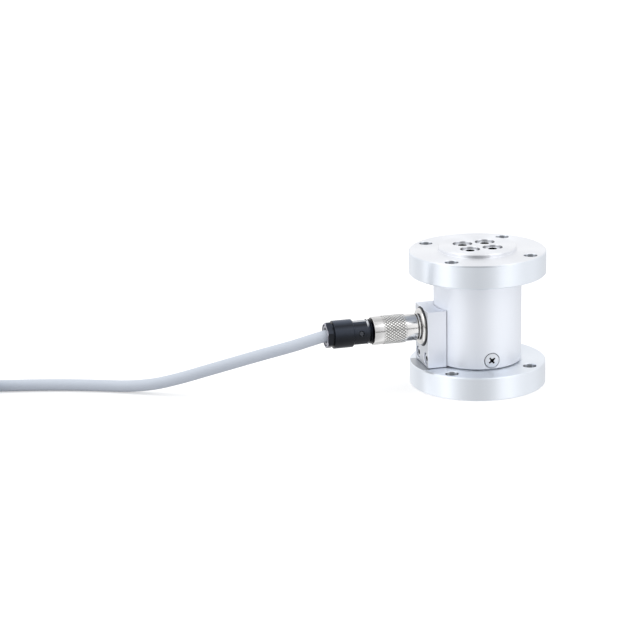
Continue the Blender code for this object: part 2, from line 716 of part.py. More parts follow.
def build_bridge_board():
    inner = max(HUB_SEAT_RADIUS, SPIGOT_BORE_RADIUS - BOARD_OVERHANG)
    outer = SPIGOT_RADIUS - BOARD_RIM
    profile = [(outer, BOARD_HEAD), (outer, BOARD_FOOT), (inner, BOARD_FOOT), (inner, BOARD_HEAD)]
    board = bake(turned("bridge_board", profile, MEDIUM_STEPS, closed=True))
    coat(board, (0.04, 0.22, 0.10), 0.45, 0.0)


# Tube

def countersink(target, angle):
    head = COVER_SCREW_HEAD / 2 + COVER_SCREW_CLEARANCE
    hole = COVER_SCREW_SHANK / 2 + COVER_SCREW_CLEARANCE
    rim = COVER_SCREW_SINK + COVER_SCREW_RIM
    profile = [(0, REACH), (head, REACH), (head, -rim), (hole, -rim - (head - hole)),
               (hole, -COVER_WALL - REACH), (0, -COVER_WALL - REACH)]
    drill = turned("countersink", profile, HOLE_STEPS, CUTTERS)
    facing_out(drill, angle, COVER_RADIUS, COVER_SCREW_Z)
    cut(target, drill)


def build_cover_tube():
    profile = [(COVER_RADIUS - COVER_EDGE, COVER_HEAD), (COVER_RADIUS, COVER_HEAD - COVER_EDGE),
               (COVER_RADIUS, COVER_FOOT + COVER_EDGE), (COVER_RADIUS - COVER_EDGE, COVER_FOOT),
               (COVER_BORE_RADIUS, COVER_FOOT), (COVER_BORE_RADIUS, COVER_HEAD)]
    cover = turned("cover_tube", profile, FINE_STEPS, closed=True)
    for angle in COVER_SCREW_ANGLES:
        countersink(cover, angle)
    block_screw_drill(cover, BLOCK_SCREW_SHANK + 2 * THREAD_GAP, HUB_SEAT_RADIUS)
    drill = turned("wire_drill", [(0, BLOCK_REACH), (WIRE_HOLE / 2, BLOCK_REACH),
                                  (WIRE_HOLE / 2, HUB_SEAT_RADIUS), (0, HUB_SEAT_RADIUS)],
                   SMALL_STEPS, CUTTERS)
    along_connector(drill)
    cut(cover, drill)
    bake(cover)
    coat(cover, (0.86, 0.87, 0.90), 0.24, 1.0)


# Connector block with its receptacle

def build_connector_block():
    bottom = LOWER_FACE + SEAT_GAP
    side = BLOCK_WIDTH / 2
    block = box("connector_block", (-BLOCK_REACH, -side, bottom), (side - COVER_RADIUS, side, BLOCK_TOP))
    bevel = block.modifiers.new("edges", "BEVEL")
    bevel.width = BLOCK_EDGE
    bevel.segments = 2
    saddle = turned("saddle", [(0, BODY_HEIGHT), (COVER_RADIUS + SEAT_GAP, BODY_HEIGHT),
                               (COVER_RADIUS + SEAT_GAP, 0), (0, 0)], FINE_STEPS, CUTTERS)
    cut(block, saddle)
    stem = STEM_DIAMETER / 2 + SEAT_GAP
    bore = turned("stem_drill", [(0, BLOCK_REACH + REACH), (stem, BLOCK_REACH + REACH),
                                 (stem, STEM_BACK - SEAT_GAP), (WIRE_HOLE / 2, STEM_BACK - SEAT_GAP),
                                 (WIRE_HOLE / 2, 0), (0, 0)], HOLE_STEPS, CUTTERS)
    along_connector(bore)
    cut(block, bore)
    for spot in block_screw_sides():
        drill = counterbore_drill("block_counterbore", BLOCK_SCREW_SHANK / 2 + THREAD_GAP,
                                  BLOCK_COUNTERBORE / 2, block_screw_seat() - SEAT_GAP, BLOCK_REACH, 0.0,
                                  HOLE_STEPS)
        drill.rotation_euler = (0.0, -math.pi / 2, 0.0)
        drill.location = (0.0, spot, BLOCK_SCREW_HEIGHT)
        cut(block, drill)
    bake(block)
    coat(block, (0.84, 0.86, 0.90), 0.26, 1.0)


def contact_spots():
    half = PIN_PITCH / 2
    return [(-half, -half), (half, -half), (half, half), (-half, half)]


def pin_holes(target, radius, low, high):
    for side, lift in contact_spots():
        profile = [(0, high), (radius, high), (radius, low), (0, low)]
        drill = turned("pin_drill", profile, TINY_STEPS, CUTTERS)
        along_connector(drill)
        drill.location = (0.0, side, CONNECTOR_HEIGHT + lift)
        cut(target, drill)


def build_receptacle():
    ring, groove = RING_DIAMETER / 2, RING_GROOVE_DIAMETER / 2
    collar, stem = COLLAR_DIAMETER / 2, STEM_DIAMETER / 2
    barrel, bore = BARREL_DIAMETER / 2, BARREL_BORE / 2
    lip = bore + INSERT_LIP / 2
    crown = ring - RING_THICKNESS
    profile = [(barrel - SLEEVE_EDGE, BARREL_FRONT), (barrel, BARREL_FRONT - SLEEVE_EDGE),
               (barrel, COLLAR_FRONT), (collar, COLLAR_FRONT), (collar, COLLAR_BACK),
               (groove, COLLAR_BACK), (groove, RING_FRONT)]
    profile += arc((crown, RING_BACK), RING_THICKNESS, 90, 0, 4)
    profile += [(stem, RING_BACK), (stem, STEM_BACK), (lip, STEM_BACK), (lip, STEM_BACK + 2 * INSERT_FLANGE),
                (bore, STEM_BACK + 2 * INSERT_FLANGE), (bore, BARREL_FRONT)]
    shell = turned("receptacle_shell", profile, MEDIUM_STEPS, closed=True)
    along_connector(bake(shell))
    coat(shell, (0.72, 0.72, 0.72), 0.18, 1.0)

    body, flange = bore - SEAT_GAP, lip - SEAT_GAP
    step = STEM_BACK + 2 * INSERT_FLANGE - SEAT_GAP
    profile = [(0, INSERT_FACE), (body, INSERT_FACE), (body, step), (flange, step),
               (flange, step - INSERT_FLANGE), (0, step - INSERT_FLANGE)]
    insert = turned("receptacle_insert", profile, HOLE_STEPS)
    along_connector(insert)
    pin_holes(insert, PIN_DIAMETER / 2 + SEAT_GAP, STEM_BACK - REACH, INSERT_FACE + REACH)
    bake(insert)
    coat(insert, (0.06, 0.06, 0.07), 0.5, 0.0)


def build_contact_pins():
    first = None
    for number, (side, lift) in enumerate(contact_spots(), 1):
        name = "contact_pin_" + str(number)
        if first is None:
            radius = PIN_DIAMETER / 2
            tip = PIN_TAIL + PIN_LENGTH
            first = turned(name, [(0, tip), (PIN_TIP_DIAMETER / 2, tip), (radius, tip - radius),
                                  (radius, PIN_TAIL), (0, PIN_TAIL)], TINY_STEPS)
            bake(first)
            coat(first, (0.83, 0.62, 0.25), 0.22, 1.0)
            pin = first
        else:
            pin = copy_of(first, name)
        along_connector(pin)
        pin.location = (0.0, side, CONNECTOR_HEIGHT + lift)


# Plug

def build_plug_sleeve():
    front, knurl, rear = SLEEVE_FRONT_DIAMETER / 2, KNURL_DIAMETER / 2, SLEEVE_REAR_DIAMETER / 2
    bore, rear_bore = SLEEVE_BORE / 2, SLEEVE_REAR_BORE / 2
    step = SLEEVE_BACK - SLEEVE_TRAVEL - SEAT_GAP
    profile = [(rear - SLEEVE_EDGE, SLEEVE_BACK), (rear, SLEEVE_BACK - SLEEVE_EDGE), (rear, KNURL_BACK),
               (knurl, KNURL_BACK), (knurl, KNURL_FRONT), (front, KNURL_FRONT),
               (front, SLEEVE_FRONT + SLEEVE_EDGE), (front - SLEEVE_EDGE, SLEEVE_FRONT),
               (bore, SLEEVE_FRONT), (bore, step), (rear_bore, step), (rear_bore, SLEEVE_BACK)]
    sleeve = along_connector(bake(turned("plug_sleeve", profile, MEDIUM_STEPS, closed=True)))
    coat(sleeve, (0.74, 0.73, 0.71), 0.22, 1.0)


def build_plug_body():
    shoulder = SLEEVE_BORE / 2 - SEAT_GAP
    nose = BARREL_BORE / 2 - SEAT_GAP
    bore, rear_bore = NOSE_BORE / 2, PLUG_BODY_BORE / 2
    shoulder_front = BARREL_FRONT + SHOULDER_GAP
    back = SLEEVE_BACK - SEAT_GAP
    profile = [(shoulder, back), (shoulder, shoulder_front), (nose, shoulder_front), (nose, PLUG_BODY_FRONT),
               (bore, PLUG_BODY_FRONT), (bore, PLUG_INSERT_STEP - SEAT_GAP),
               (rear_bore, PLUG_INSERT_STEP - SEAT_GAP), (rear_bore, back)]
    body = along_connector(bake(turned("plug_body", profile, MEDIUM_STEPS, closed=True)))
    coat(body, (0.74, 0.73, 0.71), 0.25, 1.0)

    rim, core = rear_bore - SEAT_GAP, bore - SEAT_GAP
    profile = [(0, PLUG_INSERT_BACK), (rim, PLUG_INSERT_BACK), (rim, PLUG_INSERT_STEP),
               (core, PLUG_INSERT_STEP), (core, PLUG_INSERT_FACE), (0, PLUG_INSERT_FACE)]
    insert = turned("plug_insert", profile, HOLE_STEPS)
    along_connector(insert)
    pin_holes(insert, PIN_DIAMETER / 2 + SEAT_GAP, PLUG_INSERT_FACE - REACH, PLUG_INSERT_FACE + SOCKET_DEPTH)
    bake(insert)
    coat(insert, (0.06, 0.06, 0.07), 0.5, 0.0)


def build_back_shell():
    ring, neck = SHELL_RING_DIAMETER / 2, NECK_DIAMETER / 2
    plain, grip = SHELL_DIAMETER / 2, GRIP_DIAMETER / 2
    tail, throat = PLUG_BODY_BORE / 2 - SEAT_GAP, SHELL_THROAT / 2
    cavity, thread = SHELL_CAVITY / 2, SHELL_THREAD / 2
    shoulder = [(neck + (plain - neck) * math.sin(t), SHOULDER_FRONT + SHOULDER_LENGTH * (1 - math.cos(t)))
                for t in (math.radians(angle) for angle in (90, 66, 42, 20, 0))]
    step = GRIP_FRONT + GRIP_STEP
    profile = [(grip - SLEEVE_EDGE, SHELL_BACK), (grip, SHELL_BACK - SLEEVE_EDGE), (grip, step),
               (plain, GRIP_FRONT)]
    profile += shoulder
    profile += [(neck, NECK_FRONT), (ring, NECK_FRONT), (ring, SHELL_FRONT), (tail, SHELL_FRONT),
                (tail, SHELL_TAIL_END), (throat, SHELL_TAIL_END), (throat, SHOULDER_FRONT + NECK_LENGTH),
                (cavity, SHELL_PLAIN), (cavity, step), (thread, step), (thread, SHELL_BACK)]
    shell = along_connector(turned("back_shell", profile, MEDIUM_STEPS, closed=True), SHELL_ROLL)
    for side in (-1, 1):
        inner, outer = SHELL_ACROSS_FLATS / 2, SHELL_DIAMETER
        low = (inner, -outer, SHELL_PLAIN - SHOULDER_LENGTH / 2)
        high = (outer, outer, GRIP_FRONT)
        if side < 0:
            low, high = (-outer, -outer, low[2]), (-inner, outer, high[2])
        flat = along_connector(box("shell_flat", low, high, CUTTERS), SHELL_ROLL)
        cut(shell, flat)
    drill = turned("set_screw_drill", [(0, SHELL_DIAMETER), (SET_SCREW_HOLE / 2, SHELL_DIAMETER),
                                       (SET_SCREW_HOLE / 2, SHELL_CAVITY / 4), (0, SHELL_CAVITY / 4)],
                   SMALL_STEPS, CUTTERS)
    aim_from_shell(drill)
    cut(shell, drill)
    bake(shell)
    coat(shell, (0.035, 0.042, 0.055), 0.38, 0.0)

    radius = SET_SCREW_HOLE / 2 - THREAD_GAP
    head = SHELL_DIAMETER / 2 - SET_SCREW_SINK
    screw = turned("set_screw", [(0, head), (radius, head), (radius, cavity), (0, cavity)], SMALL_STEPS)
    aim_from_shell(screw)
    slot = box("set_screw_slot", (-radius - REACH, -SET_SCREW_SLOT_WIDTH / 2, head - SET_SCREW_SLOT_DEPTH),
               (radius + REACH, SET_SCREW_SLOT_WIDTH / 2, head + REACH), CUTTERS)
    aim_from_shell(slot)
    cut(screw, slot)
    bake(screw)
    coat(screw, (0.10, 0.11, 0.13), 0.35, 1.0)


def build_clamp_nut():
    rim, groove, tail = NUT_DIAMETER / 2, NUT_GROOVE_DIAMETER / 2, SHELL_THREAD / 2 - SEAT_GAP
    bore, seat = NUT_BORE / 2, WASHER_SEAT / 2
    tail_end = NUT_FRONT - NUT_TAIL_LENGTH
    profile = [(rim - NUT_EDGE, NUT_BACK), (rim, NUT_BACK - NUT_EDGE), (rim, NUT_RIM), (groove, NUT_RIM),
               (groove, NUT_FRONT), (tail, NUT_FRONT), (tail, tail_end), (bore, tail_end),
               (bore, WASHER_FRONT - SEAT_GAP), (seat, WASHER_FRONT - SEAT_GAP), (seat, NUT_BACK)]
    nut = along_connector(turned("clamp_nut", profile, MEDIUM_STEPS, closed=True), NUT_ROLL)
    corner = NUT_ACROSS_FLATS / math.sqrt(3)
    hexagon = turned("nut_hexagon", [(0, NUT_BACK + REACH), (corner, NUT_BACK + REACH),
                                     (corner, tail_end - REACH), (0, tail_end - REACH)], 6, CUTTERS)
    along_connector(hexagon, NUT_ROLL)
    cut(nut, hexagon, "INTERSECT")
    bake(nut)
    coat(nut, (0.045, 0.05, 0.06), 0.42, 0.0)

    outer, inner = seat - SEAT_GAP, WASHER_BORE / 2
    washer = turned("gland_washer", [(outer, WASHER_BACK), (outer, WASHER_FRONT), (inner, WASHER_FRONT),
                                     (inner, WASHER_BACK)], HOLE_STEPS, closed=True)
    along_connector(bake(washer))
    coat(washer, (0.62, 0.62, 0.66), 0.35, 0.0)

    bush_inner = CABLE_DIAMETER / 2 + SEAT_GAP
    bush = turned("cable_bush", [(tail, BUSH_BACK), (tail, BUSH_BACK - BUSH_LENGTH),
                                 (bush_inner, BUSH_BACK - BUSH_LENGTH), (bush_inner, BUSH_BACK)],
                  SMALL_STEPS, closed=True)
    along_connector(bake(bush))
    coat(bush, (0.04, 0.04, 0.045), 0.6, 0.0)


# Cable

def smooth_route(points, spacing):
    # a smooth curve through the route's points, read at an even spacing
    pts = np.array(points)
    ghost = np.vstack([2 * pts[0] - pts[1], pts, 2 * pts[-1] - pts[-2]])
    fine = []
    for a, b, c, d in zip(ghost[:-3], ghost[1:-2], ghost[2:-1], ghost[3:]):
        for t in np.linspace(0, 1, ROUTE_SAMPLES, endpoint=False):
            fine.append(0.5 * (2 * b + (c - a) * t + (2 * a - 5 * b + 4 * c - d) * t ** 2
                               + (3 * b - a - 3 * c + d) * t ** 3))
    fine.append(pts[-1])
    fine = np.array(fine)
    run = np.concatenate([[0], np.cumsum(np.linalg.norm(np.diff(fine, axis=0), axis=1))])
    count = max(2, round(run[-1] / spacing))
    stations = np.linspace(0, run[-1], count + 1)
    return np.stack([np.interp(stations, run, fine[:, k]) for k in range(3)], axis=1)


def tail_route():
    # round the outside of the coil and down to the ground: (degrees round the coil, height)
    return [(COIL_CENTRE[0] + TAIL_RADIUS * math.cos(math.radians(angle)),
             COIL_CENTRE[1] + TAIL_RADIUS * math.sin(math.radians(angle)), height)
            for angle, height in TAIL_DESCENT]


def tube(name, points, diameter, resolution):
    curve = bpy.data.curves.new(name, "CURVE")
    curve.dimensions = "3D"
    curve.bevel_depth = diameter / 2
    curve.bevel_resolution = resolution
    curve.use_fill_caps = True
    spline = curve.splines.new("POLY")
    spline.points.add(len(points) - 1)
    for spot, point in zip(spline.points, points):
        spot.co = (*point, 1.0)
    return add_object(name, curve, PARTS)


def build_cable():
    cable = tube("cable", smooth_route(CABLE_ROUTE, CABLE_STEP), CABLE_DIAMETER, 3)
    coat(cable, (0.60, 0.63, 0.68), 0.5, 0.0)
    tail = tube("cable_tail", smooth_route(tail_route(), TAIL_STEP), CABLE_DIAMETER, 3)
    coat(tail, (0.60, 0.63, 0.68), 0.5, 0.0)

    radius = CABLE_DIAMETER / 2
    root_back = WASHER_FRONT
    root = turned("cable_root", [(0, root_back), (radius, root_back), (radius, root_back - CABLE_GRIP),
                                 (0, root_back - CABLE_GRIP)], SMALL_STEPS)
    along_connector(bake(root))
    coat(root, (0.60, 0.63, 0.68), 0.5, 0.0)


def build_cable_coil():
    inner, outer = COIL_MIDDLE_RADIUS - COIL_WIDTH / 2, COIL_MIDDLE_RADIUS + COIL_WIDTH / 2
    low, high = COIL_LIFT, COIL_LIFT + COIL_HEIGHT
    corner = CABLE_DIAMETER / 2
    profile = arc((outer - corner, high - corner), corner, 90, 0, 1)
    profile += arc((outer - corner, low + corner), corner, 0, -90, 1)
    profile += arc((inner + corner, low + corner), corner, -90, -180, 1)
    profile += arc((inner + corner, high - corner), corner, -180, -270, 1)
    coil = bake(turned("cable_coil", profile, MEDIUM_STEPS, closed=True))
    coil.location = (*COIL_CENTRE, 0.0)
    coat(coil, (0.60, 0.63, 0.68), 0.5, 0.0)


def rounded_rectangle(width, height, corner):
    points = []
    for side_x, side_y, start in ((1, 1, 0), (-1, 1, 90), (-1, -1, 180), (1, -1, 270)):
        centre = (side_x * (width / 2 - corner), side_y * (height / 2 - corner))
        points += arc(centre, corner, start, start + 90, 3)
    return points


def build_coil_tie():
    # a strap round the coil, standing across its turns
    curve = bpy.data.curves.new("coil_tie", "CURVE")
    curve.dimensions = "2D"
    curve.fill_mode = "BOTH"
    curve.extrude = TIE_WIDTH / 2
    corner = CABLE_DIAMETER / 2
    for grow in (SEAT_GAP, SEAT_GAP + TIE_THICKNESS):
        outline = rounded_rectangle(COIL_WIDTH + 2 * grow, COIL_HEIGHT + 2 * grow, corner + grow)
        spline = curve.splines.new("POLY")
        spline.points.add(len(outline) - 1)
        for spot, (x, y) in zip(spline.points, outline):
            spot.co = (x, y, 0.0, 1.0)
        spline.use_cyclic_u = True
    tie = add_object("coil_tie", curve, PARTS)
    turn = Matrix.Rotation(TIE_ANGLE, 3, "Z") @ Matrix.Rotation(math.pi / 2, 3, "X")
    tie.rotation_euler = turn.to_euler()
    tie.location = (COIL_CENTRE[0] + COIL_MIDDLE_RADIUS * math.cos(TIE_ANGLE),
                    COIL_CENTRE[1] + COIL_MIDDLE_RADIUS * math.sin(TIE_ANGLE), COIL_LIFT + COIL_HEIGHT / 2)
    coat(tie, (0.05, 0.05, 0.055), 0.5, 0.0)


def build_cable_end():
    points = smooth_route(tail_route(), TAIL_STEP)
    end = Vector(points[-1])
    heading = (end - Vector(points[-2]))
    heading.z = 0.0
    heading.normalize()
    turn = heading.to_track_quat("Z", "Y")
    start = end + heading * SEAT_GAP * 2
    start.z = END_SLEEVE_DIAMETER / 2
    radius = END_SLEEVE_DIAMETER / 2
    sleeve = turned("end_sleeve", [(0, END_SLEEVE_LENGTH), (END_SLEEVE_TIP_DIAMETER / 2, END_SLEEVE_LENGTH),
                                   (radius, END_SLEEVE_LENGTH - END_SLEEVE_TAPER), (radius, 0), (0, 0)],
                    SMALL_STEPS)
    bake(sleeve)
    sleeve.rotation_mode = "QUATERNION"
    sleeve.rotation_quaternion = turn
    sleeve.location = start
    coat(sleeve, (0.04, 0.04, 0.045), 0.5, 0.0)

    side = heading.cross(Vector((0, 0, 1)))
    mouth = start + heading * (END_SLEEVE_LENGTH + SEAT_GAP)
    colours = [(0.55, 0.03, 0.02), (0.02, 0.02, 0.02), (0.02, 0.25, 0.08), (0.75, 0.75, 0.72)]
    lead_radius = END_LEAD_DIAMETER / 2
    for number, colour in enumerate(colours, 1):
        share = (number - 1) / (len(colours) - 1) - 1 / 2
        near = mouth + side * share * END_LEAD_SPREAD
        far = mouth + heading * END_LEAD_LENGTH + side * share * END_LEAD_SPLAY
        far.z = lead_radius
        middle = (near + far) / 2
        middle.z = lead_radius + END_LEAD_ARCH
        lead = tube("end_lead_" + str(number), smooth_route([near, middle, far], END_LEAD_STEP),
                    END_LEAD_DIAMETER, 2)
        coat(lead, colour, 0.45, 0.0)


def build_signal_wires():
    # from the bridge board up through the tube's wire hole to the back of each contact pin
    board_radius = (SPIGOT_BORE_RADIUS + SPIGOT_RADIUS) / 2
    start_z = BOARD_HEAD + SEAT_GAP
    pin_end = -PIN_TAIL + SEAT_GAP
    turn_x = WIRE_TURN_INSET - COVER_BORE_RADIUS
    colours = [(0.55, 0.03, 0.02), (0.02, 0.25, 0.08), (0.75, 0.75, 0.72), (0.02, 0.02, 0.02)]
    for number, ((side, lift), colour) in enumerate(zip(contact_spots(), colours), 1):
        spread, turn_spread, inset = abs(side), abs(side), HIGH_WIRE_INSET
        if lift < 0:
            spread, turn_spread, inset = LOW_WIRE_SPREAD, LOW_WIRE_TURN_SPREAD, 0.0
        hand = math.copysign(1, side)
        level = CONNECTOR_HEIGHT + lift
        route = [(-board_radius, hand * spread, start_z),
                 (inset - board_radius, hand * spread, start_z + WIRE_RISE),
                 (turn_x, hand * turn_spread, level - WIRE_SAG),
                 (pin_end + WIRE_STRAIGHT, side, level),
                 (pin_end, side, level)]
        wire = tube("signal_wire_" + str(number), smooth_route(route, WIRE_STEP), WIRE_DIAMETER, 1)
        coat(wire, colour, 0.45, 0.0)


build_lower_flange()
build_upper_flange()
build_sensing_element()
build_strain_gauges()
build_bridge_board()
build_signal_wires()
build_ring_seal("lower_seal", LOWER_FACE + LOWER_SPIGOT_HEIGHT, LOWER_FACE)
build_ring_seal("upper_seal", UPPER_UNDERSIDE - UPPER_SPIGOT_HEIGHT, UPPER_UNDERSIDE)
build_cover_tube()
place_cap_screws()
place_cover_screws()
build_connector_block()
place_block_screws()
build_receptacle()
build_contact_pins()
build_plug_sleeve()
build_plug_body()
build_back_shell()
build_clamp_nut()
build_cable()
build_cable_coil()
build_coil_tie()
build_cable_end()
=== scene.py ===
import math
import bpy
import bmesh
from mathutils import Matrix, Vector


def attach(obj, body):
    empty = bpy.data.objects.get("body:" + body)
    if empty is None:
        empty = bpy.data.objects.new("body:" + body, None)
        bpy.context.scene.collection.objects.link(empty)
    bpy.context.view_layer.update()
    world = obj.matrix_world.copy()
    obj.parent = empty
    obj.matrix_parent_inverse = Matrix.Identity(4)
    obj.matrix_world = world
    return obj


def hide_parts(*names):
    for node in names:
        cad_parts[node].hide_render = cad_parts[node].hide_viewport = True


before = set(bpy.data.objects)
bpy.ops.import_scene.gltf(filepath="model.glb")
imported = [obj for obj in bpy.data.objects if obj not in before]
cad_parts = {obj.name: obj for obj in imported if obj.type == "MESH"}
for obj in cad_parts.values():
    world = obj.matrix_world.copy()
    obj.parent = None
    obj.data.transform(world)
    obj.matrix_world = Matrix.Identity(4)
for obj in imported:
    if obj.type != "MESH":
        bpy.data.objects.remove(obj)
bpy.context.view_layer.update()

scene = bpy.context.scene
scene.view_settings.view_transform = "Standard"
connectorHeight = 0.032     # the connector's axis above the floor
print("frame loaded:", len(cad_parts), "nodes")


def linked(name, data):
    made = bpy.data.objects.new(name, data)
    scene.collection.objects.link(made)
    return made


class Settings(dict):
    # a dictionary whose entries also read as attributes
    __getattr__ = dict.__getitem__


def sumOf(operation, reflected=False):
    # one operator of Flow; the reflected one has its sides swapped
    return lambda self, other: self.reckon(operation, *((other, self) if reflected else (self, other)))


class Flow:
    # wraps one socket, so that node maths reads as plain sums
    def __init__(self, tree, socket=None):
        self.tree = tree
        self.socket = socket

    def node(self, kind, sockets=None, out=0, **settings):
        made = self.tree.nodes.new(kind)
        for name, value in settings.items():
            if name == "stops":
                ramp = made.color_ramp.elements
                while len(ramp) < len(value):
                    ramp.new(0.5)
                for stop, (place, level) in zip(ramp, value):
                    stop.position = place
                    stop.color = (level, level, level, 1)
            else:
                setattr(made, name, value)
        for name, value in (sockets or {}).items():
            if isinstance(value, Flow):
                self.tree.links.new(value.socket, made.inputs[name])
            elif value is not None:
                made.inputs[name].default_value = value
        return Flow(self.tree, made.outputs[out])

    def reckon(self, operation, a, b=None):
        return self.node("ShaderNodeMath", {0: a, 1: b}, operation=operation)

    __add__, __radd__ = sumOf("ADD"), sumOf("ADD", reflected=True)
    __sub__, __rsub__ = sumOf("SUBTRACT"), sumOf("SUBTRACT", reflected=True)
    __mul__, __rmul__ = sumOf("MULTIPLY"), sumOf("MULTIPLY", reflected=True)
    __truediv__, __rtruediv__ = sumOf("DIVIDE"), sumOf("DIVIDE", reflected=True)
    __gt__, __lt__ = sumOf("GREATER_THAN"), sumOf("LESS_THAN")

    def __abs__(self):
        return self.reckon("ABSOLUTE", self)

    def root(self):
        return self.reckon("SQRT", self)

    def within(self, low, high):
        return (self > low) * (self < high)

    def output(self, name):
        # another output of the same node
        return Flow(self.tree, self.socket.node.outputs[name])

    def split(self):
        parts = self.node("ShaderNodeSeparateXYZ", {0: self})
        return [parts.output(k) for k in range(3)]

    def vector(self, operation, other):
        # vector and colour sums; a dot product comes out as a number
        out = 1 if operation == "DOT_PRODUCT" else 0
        return self.node("ShaderNodeVectorMath", {0: self, 1: other}, out, operation=operation)

    def fit(self, low, high, most=1.0, **settings):
        # 0 where this value is low, most where it is high
        return self.node("ShaderNodeMapRange", {0: self, 1: low, 2: high, 3: 0.0, 4: most}, **settings)

    def ramp(self, stops):
        return self.node("ShaderNodeValToRGB", {0: self}, stops=stops)

    def noise(self, scale, detail):
        return self.node("ShaderNodeTexNoise", {"Vector": self, "Scale": scale, "Detail": detail})

    def blend(self, dark, light):
        # dark where this value is 0, light where it is 1
        sides = ((*side, 1) if isinstance(side, tuple) else side for side in (dark, light))
        return self.node("ShaderNodeMix", dict(zip((0, 6, 7), (self, *sides))), out=2, data_type="RGBA")

    def join(self, x=0.0, y=0.0, z=0.0):
        return self.node("ShaderNodeCombineXYZ", {0: x, 1: y, 2: z})


def newMaterial(name, colour, roughness, metallic, **uniform):
    # a Principled material whose uniform values sit on its own sockets
    material = bpy.data.materials.new(name)
    material.use_nodes = True
    shader = material.node_tree.nodes["Principled BSDF"]
    values = {"Base Color": (*colour, 1), "Roughness": roughness, "Metallic": metallic}
    for key, value in {**values, **uniform}.items():
        shader.inputs[key.replace("_", " ")].default_value = value
    return material, Flow(material.node_tree)


def feed(flow, **flows):
    # links varying values to the material's shader
    shader = flow.tree.nodes["Principled BSDF"]
    for key, value in flows.items():
        flow.tree.links.new(value.socket, shader.inputs[key.replace("_", " ")])


def placeOf(flow):
    place = flow.node("ShaderNodeTexCoord", out=3)
    return place, *place.split()


cameraPlace = Settings(
    spot=(-0.321915, -0.921305, 0.315184), right=(0.966280, -0.256554, -0.021998),
    up=(0.091641, 0.262799, 0.960489), lens=110.82, sensor=36, near=0.05, far=50)
view = bpy.data.cameras.new("camera")
view.lens, view.sensor_width = cameraPlace.lens, cameraPlace.sensor
view.clip_start, view.clip_end = cameraPlace.near, cameraPlace.far
scene.camera = linked("camera", view)
rightWay, upWay = Vector(cameraPlace.right), Vector(cameraPlace.up)
scene.camera.matrix_world = Matrix.Translation(cameraPlace.spot) @ Matrix(
    (rightWay, upWay, rightWay.cross(upWay))).transposed().to_4x4()
print("camera set")


# a pale floor, even light, and what the metal mirrors: a softbox high up in front and a dark horizon
studio = Settings(
    floorSize=8.0, floorColour=(0.70, 0.70, 0.70), floorBounce=(0.55, 0.55, 0.56), floorGlow=0.42,
    front=(-0.330, -0.944, 0.0), side=(0.944, -0.330, 0.0), skyLevel=0.95, mirrorLevel=2.5,
    # level against the bearing seen from the camera's side, from -180 to 180 degrees
    bearing=[(-180, 1.0), (-166, 0.90), (-146, 1.06), (-120, 0.94), (-106, 0.98), (-92, 1.60), (-74, 1.27),
             (-54, 1.60), (-40, 1.17), (-24, 0.93), (0, 0.84), (18, 0.89), (30, 1.00), (42, 1.30), (56, 1.45),
             (74, 1.28), (90, 1.20), (112, 1.04), (136, 0.92), (160, 0.86), (180, 1.0)],
    # level against the height of the look, from straight down at 0 to straight up at 1
    frontRise=[(0.0, 0.92), (0.49, 0.97), (0.50, 0.14), (0.55, 0.14), (0.56, 0.95), (0.80, 1.0), (0.85, 1.5),
               (0.91, 1.5), (0.96, 0.88), (1.0, 0.84)],
    rearRise=[(0.0, 0.92), (0.50, 0.97), (0.53, 1.07), (0.80, 1.10), (0.93, 0.92), (1.0, 0.87)],
    rearFrom=0.10, rearFull=-0.30, lampPlace=(0.1, 0.1, 1.9), lampSize=1.6, lampPower=10.0)


def buildFloor():
    half = studio.floorSize / 2
    mesh = bpy.data.meshes.new("floor")
    mesh.from_pydata([(-half, -half, 0), (half, -half, 0), (half, half, 0), (-half, half, 0)], [], [(0, 1, 2, 3)])
    floor = linked("floor", mesh)
    material, flow = newMaterial("floor_paper", studio.floorColour, 0.9, 0.0, Specular_IOR_Level=0.0,
                                 Emission_Strength=studio.floorGlow)
    seen = flow.node("ShaderNodeLightPath")
    feed(flow, Base_Color=seen.blend(studio.floorBounce, studio.floorColour),
         Emission_Color=seen.blend((0.0, 0.0, 0.0), (1.0, 1.0, 1.0)))
    # a mirrored look goes through the paper to the world below the horizon
    clear = flow.node("ShaderNodeBsdfTransparent")
    paper = Flow(flow.tree, flow.tree.nodes["Principled BSDF"].outputs[0])
    both = flow.node("ShaderNodeMixShader", {0: seen.output("Is Glossy Ray"), 1: paper, 2: clear})
    flow.tree.links.new(both.socket, flow.tree.nodes["Material Output"].inputs["Surface"])
    mesh.materials.append(material)


def buildLight():
    world = bpy.data.worlds.new("studio")
    world.use_nodes = True
    scene.world = world
    flow = Flow(world.node_tree)
    way = flow.node("ShaderNodeTexCoord", out=0)
    front, side, height = (way.vector("DOT_PRODUCT", axis) for axis in (studio.front, studio.side, (0, 0, 1)))
    turn = flow.reckon("ARCTAN2", side, front) / (2 * math.pi) + 0.5
    rise = height * 0.5 + 0.5
    top = studio.mirrorLevel
    bearing = turn.ramp([(degrees / 360 + 0.5, level / top) for degrees, level in studio.bearing])
    ahead, behind = (rise.ramp([(place, level / top) for place, level in stops])
                     for stops in (studio.frontRise, studio.rearRise))
    rear = front.fit(studio.rearFrom, studio.rearFull, interpolation_type="SMOOTHSTEP")
    mirrored = (ahead * (1 - rear) + behind * rear) * bearing * top * top
    seen = flow.node("ShaderNodeLightPath")
    glossy = seen.output("Is Glossy Ray")
    level = seen + (1 - seen) * (glossy * mirrored + (1 - glossy) * studio.skyLevel)
    back = world.node_tree.nodes["Background"]
    back.inputs["Color"].default_value = (1, 1, 1, 1)
    world.node_tree.links.new(level.socket, back.inputs["Strength"])

    light = bpy.data.lights.new("softbox", "AREA")
    light.size, light.energy = studio.lampSize, studio.lampPower
    lamp = linked("softbox", light)
    lamp.location = studio.lampPlace
    lamp.visible_glossy = False


buildFloor()
buildLight()
print("studio built")


